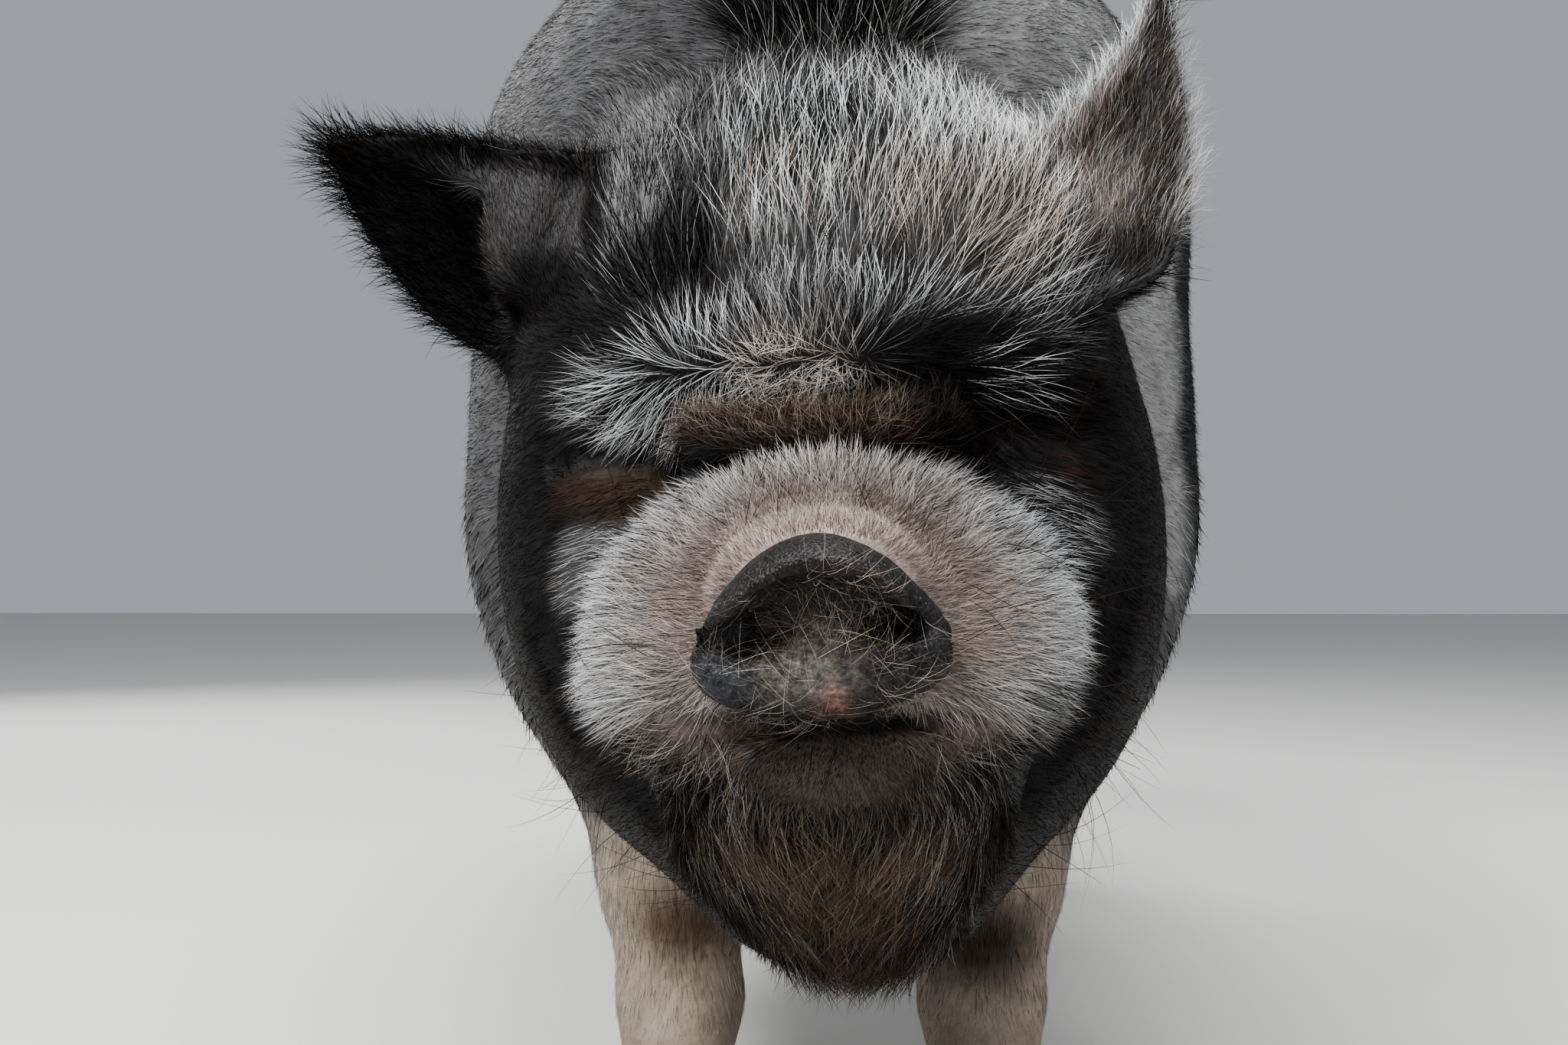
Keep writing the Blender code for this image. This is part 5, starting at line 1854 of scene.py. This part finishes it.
    def painted(self, points: Array) -> Array:
        """The tone of each vertex.

        Args:
            points: Places in the posed animal.

        Returns:
            One colour for each point.
        """
        across, up, _, reach = self.local(points)
        rows = np.tile(self.base, (len(points), 1))
        dust = self.dust_level
        for width, weight, seed in self.dust_swells:
            dust = dust + weight * lattice_noise(points, width, seed)
        dust = np.clip(dust, *self.dust_range)[:, None]
        for swell in self.swells:
            part = (swell.tint * swell.share(across, up))[:, None]
            rows = rows * (1 - part) + np.array(swell.tone) * dust * part
        width, weight, seed = self.wear_swell
        worn = self.wear * self.hooded(up, reach) + self.wear_level
        worn = worn + weight * lattice_noise(points, width, seed)
        part = np.clip(worn, 0, 1)[:, None]
        return rows * (1 - part) + np.array(self.hood_tone) * part

    def build(self) -> Object:
        """The disc in the frame's place, with its tones and the sizes of its bristles."""
        cage = bmesh.new()
        bmesh.ops.create_icosphere(cage, subdivisions=4, radius=1)
        axes = [Vector(axis) for axis in self.axes()]
        for vertex in cage.verts:
            sizes = (self.half[0], self.half[1], (self.half[2] + self.back) / 2)
            parts = (axis * part * size for axis, part, size in zip(axes, vertex.co, sizes))
            vertex.co = POSE.place(Vector(self.centre) + sum(parts, Vector()))
        made = remeshed(linked_cage("snout", cage), self.voxel)
        settle(made.data, self.field, rounds=9, reach=0.003)
        self.sized(made.data)
        return placed(made)

    def sized(self, mesh: Mesh) -> None:
        """Stores the tones and what the coat's tree reads.

        Args:
            mesh: The disc's mesh.
        """
        points = vertices_of(mesh)
        across, up, out, reach = self.local(points)
        zone, count = self.bristles, len(points)
        store(mesh, "tone", Layer.COLOUR, self.painted(points))
        for name, tone in (("hair_tone", DUN), ("other_tone", CREAM)):
            store(mesh, name, Layer.COLOUR, np.tile(tone.value, (count, 1)))
        rim = smooth_step(reach, 0.9, 1.0) * smooth_step(up, -0.01, 0.0)
        front = smooth_step(out, 0.0, 0.004) * (1 - rim)
        patchy = smooth_step(lattice_noise(points, 0.008, 4), -0.5, 0.4)
        nostrils = np.maximum(*(swell.share(across, up) for swell in self.swells[1:3]))
        number = front * patchy * (1 - 0.97 * nostrils) * zone.per_cm2 * 1e4
        store(mesh, "hair_number", Layer.NUMBER, number)
        for name, value in (("other_share", self.light_share), ("hair_length", zone.length),
                            ("hair_rise", math.radians(zone.rise))):
            store(mesh, name, Layer.NUMBER, np.full(count, value))
        store(mesh, "lie", Layer.VECTOR, zone.lie(points))
        store(mesh, "zone", Layer.INDEX, np.zeros(len(mesh.polygons)), "FACE")
        behind = (out < 0).astype(float)
        flat = np.column_stack((0.05 + (across + 0.045) * 4.5 + 0.45 * behind,
                                0.1 + (up + 0.035) * 4.5, behind * 0))
        store(mesh, "root_uv", Layer.VECTOR, flat[read(mesh.loops, "vertex_index")], "CORNER")

    def material(self) -> Material:
        """Tough dark skin with fine grain, dusted with soil."""
        made, tree, main = shader("snout_skin")
        place = place_in(tree)
        specks = spread(tree, noise(tree, place, self.speck, 3.0), (0.6, 0.72), (0, 0.45))
        rough = noise(tree, place, self.mottle, 6.0, Roughness=0.7)
        rough = spread(tree, rough, (0.35, 0.65), (0.35, 1.6))
        bare = multiplied(tree, tone_of(tree, "tone"), rough)
        dusty = added(tree, "ShaderNodeMix", {0: specks, 6: bare, 7: (*self.dust_tone, 1)},
                      data_type="RGBA")
        fill(tree, main, {"Base Color": dusty.outputs[2], "Roughness": 0.44,
                          "Specular IOR Level": 0.17,
                          "Normal": bump(tree, cells(tree, place, self.pore), 0.8, 0.0005)})
        return made


@dataclass
class Eyes:
    """Both eyeballs, dark brown and wet."""

    radius: float = EYE_RADIUS
    cornea: float = 0.0012
    sunk: float = 0.0008
    look: Triple = (0.6, -0.8, -0.05)
    dark: Triple = (0.01, 0.006, 0.004)
    light: Triple = (0.06, 0.028, 0.012)

    def build(self, word: str) -> Object:
        """One eyeball with a raised cornea, looking ahead and outward."""
        side = SIDES[word]
        cage = bmesh.new()
        bmesh.ops.create_uvsphere(cage, u_segments=40, v_segments=28, radius=1)
        x, y, z = self.look
        look = Vector((side * x, y, z)).normalized()
        turn = look.to_track_quat("Z", "Y").to_matrix()
        centre = Vector(eye_centre(side))
        for vertex in cage.verts:
            ahead = max(vertex.co.z, 0.0)
            size = self.radius - self.sunk + self.cornea * ahead ** 8
            vertex.co = POSE.place(turn @ (vertex.co * size) + centre)
        return placed(linked_cage(f"eyeball_{word}", cage))

    def material(self) -> Material:
        """Dark, wet eye."""
        made, tree, main = shader("eye")
        fleck = noise(tree, place_in(tree), 400.0, 3.0)
        tone = ramp(tree, fleck, self.dark, self.light)
        fill(tree, main, {"Base Color": tone, "Roughness": 0.06, "Coat Weight": 1.0,
                          "Coat Roughness": 0.03})
        return made


@dataclass
class Hooves:
    """The horn of all four feet: two claws and two dewclaws each."""

    half: tuple[float, float] = (0.0145, 0.026)
    cleft: float = 0.0035
    toes: tuple = (("fore", 0.066, -0.29), ("hind", 0.096, 0.382))
    around: int = 36
    narrowing: float = 0.35
    splay: float = 0.0035
    fit: float = 0.985
    dewclaw_half: tuple[float, float] = (0.0082, 0.0145)
    dewclaw_taper: float = 0.6
    dewclaw_place: Triple = (0.013, 0.047, 0.046)
    dewclaw_axis: Triple = (0.0, 0.55, -0.84)
    sharp: float = math.radians(50)
    dark: Triple = (0.04, 0.03, 0.024)
    light: Triple = (0.21, 0.165, 0.12)
    # A claw's rings: height, share of its full size, and how far back each lies.
    levels = ((0.0, 0.93, 0.0), (0.0008, 0.975, 0.0), (0.003, 1.0, 0.0005), (0.006, 1.0, 0.001),
              (0.009, 0.975, 0.002), (0.0098, 0.985, 0.0022), (0.0125, 0.945, 0.003),
              (0.0133, 0.955, 0.0033), (0.0156, 0.9, 0.004), (0.019, 0.86, 0.005),
              (0.0225, 0.8, 0.006), (0.0255, 0.74, 0.007), (0.026, 0.7, 0.007))

    def outline(self, inner: float) -> list[tuple[float, float]]:
        """Points round one claw's sole, heel first, seen from above.

        Args:
            inner: 1 or -1, the side of the cleft.

        Returns:
            The points, at full size.
        """
        half_wide, half_long = self.half
        points = []
        for step in range(self.around):
            angle = 2 * math.pi * step / self.around
            x = half_wide * math.sin(angle)
            y = half_long * math.cos(angle)
            if y < 0:
                x = x * (1 + self.narrowing * y / half_long) - inner * self.splay * y / half_long
            points.append((x * self.fit, y * self.fit))
        return points

    def claw(self, name: str, x: float, y: float, inner: float) -> Object:
        """One claw, lofted from its worn sole to the coronet, with growth rings.

        Args:
            name: What the piece is called.
            x: Middle of the claw.
            y: The same, along the animal.
            inner: 1 or -1, the side of the cleft.

        Returns:
            The claw.
        """
        cage = bmesh.new()
        rings = [[cage.verts.new((x + a * size, y + b * size + back, height))
                  for a, b in self.outline(inner)] for height, size, back in self.levels]
        lofted(cage, rings)
        cage.faces.new(rings[0])
        cage.faces.new(rings[-1])
        bmesh.ops.recalc_face_normals(cage, faces=cage.faces)
        made = placed(linked_cage(name, cage))
        made.data.set_sharp_from_angle(angle=self.sharp)
        return made

    def dewclaw(self, name: str, x: float, y: float) -> Object:
        """One small horn behind the foot, blunt, tapered and leaning.

        Args:
            name: What the piece is called.
            x: Its middle.
            y: The same, along the animal.

        Returns:
            The dewclaw.
        """
        cage = bmesh.new()
        bmesh.ops.create_uvsphere(cage, u_segments=20, v_segments=16, radius=1)
        lean = Vector(self.dewclaw_axis).to_track_quat("Z", "Y").to_matrix()
        half_wide, half_long = self.dewclaw_half
        for vertex in cage.verts:
            wide = half_wide * (1 - self.dewclaw_taper * (vertex.co.z + 1) / 2)
            local = Vector((vertex.co.x * wide, vertex.co.y * wide, vertex.co.z * half_long))
            vertex.co = lean @ local + Vector((x, y, self.dewclaw_place[2]))
        return placed(linked_cage(name, cage))

    def build(self) -> list[tuple[Object, str]]:
        """Every claw and dewclaw, each with the node that it stands for."""
        made = []
        aside, back, _ = self.dewclaw_place
        for kind, toe_x, toe_y in self.toes:
            for word, side in SIDES.items():
                for place, turn in (("outer", 1), ("inner", -1)):
                    x = side * toe_x + side * turn * (self.half[0] + self.cleft / 2)
                    node = f"{kind}claw_{place}_{word}"
                    made.append((self.claw(f"horn_{node}", x, toe_y, side * turn), node))
                    x = side * toe_x + side * turn * aside
                    node = f"{kind}dewclaw_{place}_{word}"
                    made.append((self.dewclaw(f"horn_{node}", x, toe_y + back), node))
        return made

    def material(self) -> Material:
        """Streaked grey-brown horn."""
        made, tree, main = shader("hoof_horn")
        stretch = added(tree, "ShaderNodeMapping",
                        {"Vector": place_in(tree), "Scale": (1.0, 1.0, 0.18)})
        streak = noise(tree, stretch.outputs[0], 420.0, 5.0)
        tone = ramp(tree, streak, self.dark, self.light)
        fill(tree, main, {"Base Color": tone, "Normal": bump(tree, streak, 0.4, 0.0006),
                          "Roughness": 0.5})
        return made


@dataclass
class Studio:
    """Pale floor, soft lights and the camera at the photograph's place."""

    floor_size: float = 14.0
    lens: float = 49.47
    eye: Triple = (0.0, -1.215, 0.247)
    tilt: float = math.radians(90.7)
    pan: float = math.radians(1.24)
    # Each lamp's name, place, target, width in metres and power in watts.
    lamps = (("key", (-1.0, -1.5, 1.9), (0, -0.35, 0.25), 0.8, 74),
             ("fill", (1.6, -1.3, 1.2), (0, -0.35, 0.25), 1.6, 11),
             ("top", (0.2, -0.2, 2.3), (0, -0.2, 0.3), 1.5, 48),
             ("back", (-1.2, 1.9, 1.3), (0, 0.3, 0.3), 1.6, 26))

    def floor(self) -> None:
        """A large pale floor."""
        cage = bmesh.new()
        bmesh.ops.create_grid(cage, x_segments=1, y_segments=1, size=self.floor_size / 2)
        floor = linked_cage("studio_floor", cage)
        made, tree, main = shader("floor")
        fill(tree, main, {"Base Color": (0.62, 0.61, 0.59, 1), "Roughness": 0.85})
        floor.data.materials.append(made)

    def lamp(self, name: str, place: Triple, target: Triple, size: float, power: float) -> None:
        """One soft area light that looks at a target.

        Args:
            name: What it is called.
            place: Where it stands.
            target: What it looks at.
            size: Its width, in metres.
            power: In watts.
        """
        data = bpy.data.lights.new(name, "AREA")
        data.shape = "DISK"
        data.size = size
        data.energy = power
        lamp = bpy.data.objects.new(name, data)
        lamp.location = place
        lamp.rotation_euler = (Vector(target) - Vector(place)).to_track_quat("-Z", "Y").to_euler()
        bpy.context.scene.collection.objects.link(lamp)

    def build(self) -> None:
        """Makes floor, world, lights and camera."""
        bpy.context.scene.view_settings.look = "AgX - Medium High Contrast"
        self.floor()
        world = bpy.data.worlds.new("studio")
        world.use_nodes = True
        fill(world.node_tree, world.node_tree.nodes["Background"],
             {"Color": (0.8, 0.84, 0.9, 1), "Strength": 0.42})
        bpy.context.scene.world = world
        for lamp in self.lamps:
            self.lamp(*lamp)
        data = bpy.data.cameras.new("camera")
        data.lens = self.lens
        camera = bpy.data.objects.new("camera", data)
        camera.location = Vector(self.eye) + Vector((SHIFT.x, SHIFT.y, 0))
        camera.rotation_euler = (self.tilt, 0, self.pan)
        bpy.context.scene.collection.objects.link(camera)
        bpy.context.scene.camera = camera


def dressed(piece: Object, material: Material, slot: str, *nodes: str) -> Object:
    """Gives a piece its finish, lets it ride, and hides the nodes that it stands for.

    Args:
        piece: The finished piece.
        material: Its finish.
        slot: Not used.
        nodes: Nodes that it stands for.

    Returns:
        The same piece.
    """
    piece.data.materials.clear()
    piece.data.materials.append(material)
    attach(piece, BODY)
    if nodes:
        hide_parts(*nodes)
    piece.data.calc_loop_triangles()
    log.info("%s: %d triangles", piece.name, len(piece.data.loop_triangles))
    return piece


def main() -> None:
    """Builds the pig piece by piece."""
    logging.basicConfig(level=logging.INFO, format="%(message)s")
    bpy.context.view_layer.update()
    Studio().build()
    flesh = Flesh()
    hide = SkinPiece(flesh, Markings(flesh))
    skin = hide.build()
    dressed(skin, HideFinish().material(), "body_hide", *SkinPiece.replaced)
    coat = Coat()
    hair = HairFinish().material()
    for number, zone in enumerate(ZONES + (EAR_ZONE,)):
        grown = coat.grow(f"coat_{zone.name}", skin.data, number, zone, hair, COAT_SEED + number)
        dressed(grown, hair, "body_hide")
    sparse = hide.with_feelers(skin)
    for number, zone in enumerate(FEELERS[1:], 1):
        grown = coat.grow(f"feelers_{zone.name}", sparse, number, zone, hair, FEELER_SEED + number)
        dressed(grown, hair, "body_hide")
    bpy.data.meshes.remove(sparse)
    disc = SnoutDisc()
    snout = disc.build()
    dressed(snout, disc.material(), "snout_skin", "snout_disc")
    grown = coat.grow("coat_snout", snout.data, 0, disc.bristles, hair, SNOUT_SEED)
    dressed(grown, hair, "snout_skin")
    eyes = Eyes()
    wet = eyes.material()
    for word in SIDES:
        dressed(eyes.build(word), wet, "eye", f"eye_{word}")
    hooves = Hooves()
    horn = hooves.material()
    for piece, node in hooves.build():
        dressed(piece, horn, "hoof_horn", node)
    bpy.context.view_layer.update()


if __name__ == "__main__":
    main()
